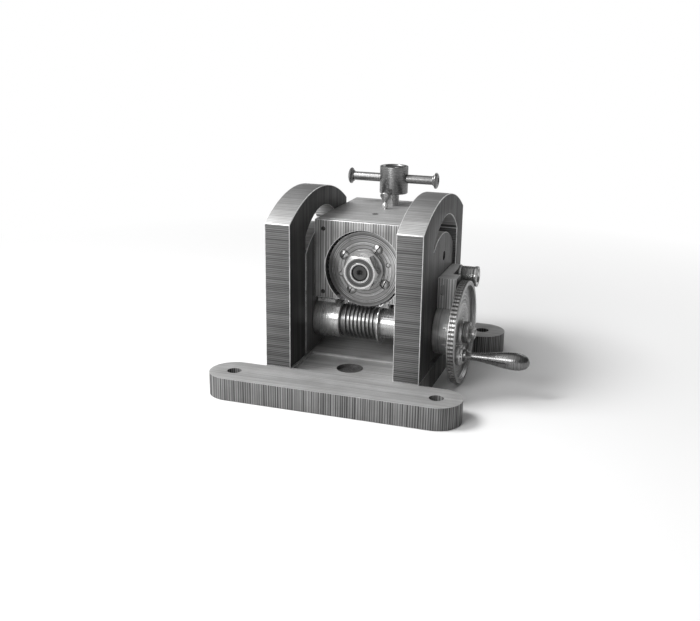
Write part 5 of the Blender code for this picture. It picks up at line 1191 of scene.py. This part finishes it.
def make_tommy_bar():
    low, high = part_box("tommy_bar")
    left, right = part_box("left_tommy_knob"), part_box("right_tommy_knob")
    radius = size("tommy_bar").z / 2
    length = high.x - low.x
    shoulder = left[1].x + 0.3 * MM - low.x
    far = right[0].x - 0.3 * MM - low.x
    profile = [(0, length), (5 * MM, length), (5 * MM, far), (radius, far), (radius, shoulder),
               (5 * MM, shoulder), (5 * MM, 0), (0, 0)]
    bar = turn("tommy_bar_body", profile, BAR_LINE, low.x, "tommy_bar", 64, round_off=0.4 * MM)
    seat(bar, "tommy_bar", "bright", "tommy_bar")
    knob_radius = size("left_tommy_knob").z / 2
    thick = left[1].x - left[0].x
    # share of the knob's radius, and the distance from its end in mm
    shape = [(0.42, 0), (0.75, 0.5), (0.93, 1.7), (1, 3.2), (0.97, 4.6), (0.86, 5.5), (0.72, 6.0),
             (0.68, 7.0)]
    profile = ([(knob_radius * share, thick - depth * MM) for share, depth in shape]
               + [(knob_radius * 0.66, 0), (5.3 * MM, 0), (5.3 * MM, thick)])
    for node, start, flip in (("left_tommy_knob", left[1].x, True), ("right_tommy_knob", right[0].x, False)):
        knob = turn(node + "_body", profile, BAR_LINE, start, "tommy_knob", 72, flip, closed=True)
        seat(knob, "tommy_bar", "bright", node)


# ================================================================ lock screw, clamp
def make_lock_screw():
    low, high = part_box("lock_screw")
    seat_z = BLOCK_HIGH.z + 0.3 * MM
    ball = 5.0 * MM
    profile = [(0, 2 * ball + 1.5 * MM), (1.8 * MM, 2 * ball + 1.2 * MM)]
    for degrees in range(65, -56, -15):
        angle = math.radians(degrees)
        profile.append((ball * math.cos(angle), ball * (1 + math.sin(angle))))
    profile += [(2.6 * MM, 0), (2.9 * MM, -0.2 * MM), (2.9 * MM, low.z - seat_z), (0, low.z - seat_z)]
    stem = turn("lock_screw_stem", profile, LOCK_LINE, seat_z, "lock_stem", 48)
    seat(stem, "lock_screw", "bright", "lock_screw")
    # flat thumb-piece with a round top, narrowing to a neck over the ball: shares of its height and width
    bottom, top = seat_z + 2 * ball - 1 * MM, high.z
    half_width, half_thick = 8.6 * MM, 2.8 * MM
    outline = [(0, 0.34), (0.12, 0.36), (0.28, 0.52), (0.44, 0.76), (0.58, 0.93), (0.70, 1.0), (0.80, 0.95),
               (0.88, 0.80), (0.94, 0.58), (0.98, 0.33), (1.0, 0.08)]
    angles = [2 * math.pi * k / 32 for k in range(32)]
    rows = []
    for share, width in outline:
        depth = half_thick * min(1.0, 0.30 + 1.1 * width)
        z = bottom + (top - bottom) * share
        rows.append([(LOCK_X + half_width * width * math.cos(angle), LOCK_Y + depth * math.sin(angle), z)
                     for angle in angles])
    wing = coat(skin("lock_screw_wing", rows, 40), turned_steel("lock_wing", LOCK_LINE))
    seat(wing, "lock_screw", "bright")


def make_clamp():
    low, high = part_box("clamp_washer")
    profile = ring(size("clamp_washer").z / 2, CLAMP_BORE, high.x - low.x)
    washer = turn("clamp_washer_body", profile, CLAMP_LINE, low.x, "clamp_washer", 80, closed=True,
                  round_off=1.0 * MM)
    seat(washer, "head", "bright", "clamp_washer")

    knob_low, knob_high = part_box("clamp_knob")
    rim = size("clamp_knob").z / 2
    body = high.x + 0.3 * MM - knob_low.x
    top = knob_high.x - knob_low.x
    profile = [(0, top - 3.2 * MM), (rim - 5.5 * MM, top - 3.2 * MM), (rim - 4 * MM, top), (rim, top),
               (rim, top - 5 * MM), (15 * MM, top - 6.5 * MM), (15 * MM, body), (5 * MM, body), (5 * MM, 0),
               (0, 0)]
    knob = turn("clamp_knob_body", profile, CLAMP_LINE, knob_low.x, "clamp_knob", 96, round_off=1.0 * MM)
    seat(knob, "clamp_knob", "bright", "clamp_knob")


# ================================================================ camera, light, floor
def make_camera():
    """Stands at the drawing's own viewpoint, 1.45 m off, looking down to the left."""
    data = bpy.data.cameras.new("camera")
    data.sensor_width = 36
    data.lens = 48.9
    camera = link("camera", data)
    camera.rotation_mode = "XYZ"
    turned = (Matrix.Rotation(math.radians(18.573), 4, "Z")
              @ Matrix.Rotation(math.radians(90 - 16.913), 4, "X")
              @ Matrix.Rotation(math.radians(0.767), 4, "Z"))
    camera.matrix_world = Matrix.Translation((0.4272, -1.3566, 0.5285)) @ turned
    bpy.context.scene.camera = camera


def area_light(name, place, target, energy, width, height):
    data = bpy.data.lights.new(name, "AREA")
    data.shape = "RECTANGLE"
    data.size = width
    data.size_y = height
    data.energy = energy
    lamp = link(name, data)
    lamp.location = place
    lamp.rotation_mode = "QUATERNION"
    lamp.rotation_quaternion = (Vector(target) - Vector(place)).to_track_quat("-Z", "Y")


def make_world():
    """White behind the object; what it reflects is darker, with one broad bright patch up on the left."""
    world = bpy.data.worlds.new("studio")
    bpy.context.scene.world = world
    world.use_nodes = True
    tree = world.node_tree
    place = add_node(tree, "ShaderNodeTexCoord", {}).outputs["Generated"]
    towards_key = weighted(tree, place, tuple(Vector(KEY_DIRECTION).normalized()))
    soft = ramp(tree, towards_key, [(0.0, grey(0.10)), (0.62, grey(0.20)), (0.90, grey(1.1))])
    height = maths(tree, "ABSOLUTE", weighted(tree, place, (0, 0, 1)))
    horizon = ramp(tree, height, [(0.06, 1.0), (0.20, 0.0)])
    path = add_node(tree, "ShaderNodeLightPath", {}).outputs
    shown = maths(tree, "MAXIMUM", path["Is Camera Ray"], path["Is Transmission Ray"])
    shown = maths(tree, "MAXIMUM", shown, maths(tree, "MULTIPLY", path["Is Glossy Ray"], horizon))
    feed(tree, tree.nodes["Background"], {"Color": mixed(tree, shown, soft, grey(1.0)), "Strength": 1.0})


def make_floor():
    """A pale floor that keeps the shadow near the object and runs out into the white background."""
    work = bmesh.new()
    bmesh.ops.create_circle(work, cap_ends=True, segments=96, radius=6.0)
    bmesh.ops.translate(work, vec=(0, 0, -0.5 * MM), verts=work.verts)
    floor = from_bmesh("floor", work)
    material, tree, shader, place = new_material("pale_floor")
    split = add_node(tree, "ShaderNodeSeparateXYZ", {"Vector": place}).outputs
    reach = maths(tree, "DIVIDE", distance(tree, split["X"], split["Y"]), 1.6)
    fade = ramp(tree, reach, [(0.28, 0.0), (0.80, 1.0)])
    path = add_node(tree, "ShaderNodeLightPath", {}).outputs
    seen = maths(tree, "MAXIMUM", path["Is Camera Ray"], path["Is Glossy Ray"])
    feed(tree, shader, {"Base Color": mixed(tree, seen, grey(0.42), grey(0.84)), "Roughness": 0.85,
                        "Specular IOR Level": 0.15})
    white = add_node(tree, "ShaderNodeEmission", {"Strength": 1.0}).outputs["Emission"]
    share = maths(tree, "MULTIPLY", fade, path["Is Camera Ray"])
    blend = add_node(tree, "ShaderNodeMixShader", {0: share, 1: shader.outputs["BSDF"], 2: white})
    feed(tree, tree.nodes["Material Output"], {"Surface": blend.outputs["Shader"]})
    coat(floor, material)


# ================================================================ assembly
def build():
    make_base()
    for i in (1, 2, 3, 4):
        coat(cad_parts[f"cheek_bolt_{i}"], black_finish_and_shade(0.06))
    make_lift_nut()
    make_head_block()
    make_front_plate()
    for side, name in ((-1, "left"), (1, "right")):
        make_cheek(f"{name}_cheek")
        make_slide(f"{name}_slide", side)
        make_bearing(side, name)
        make_bush(name)
    make_slide_screws()
    make_bracket()
    make_index_drum()
    make_spindle_bushes()
    make_wheel()
    make_cap()
    make_spindle_nut()
    make_spindle()
    make_worm()
    make_worm_shaft()
    make_handwheel()
    make_crank()
    make_lift_screw()
    make_tommy_bar()
    make_lock_screw()
    make_clamp()


make_camera()
make_world()
make_floor()
area_light("key", Vector(KEY_DIRECTION) * 2.3 + Vector((0, 0, 0.15)), (0, 0, 0.15), 48, 0.8, 0.8)
area_light("front", (-0.50, -1.85, 0.95), (0, 0, 0.15), 19, 0.9, 0.8)
area_light("rim", (0.6, 1.5, 1.2), (0, 0, 0.2), 4, 1.0, 0.7)
bpy.context.scene.view_settings.view_transform = "Standard"
build()
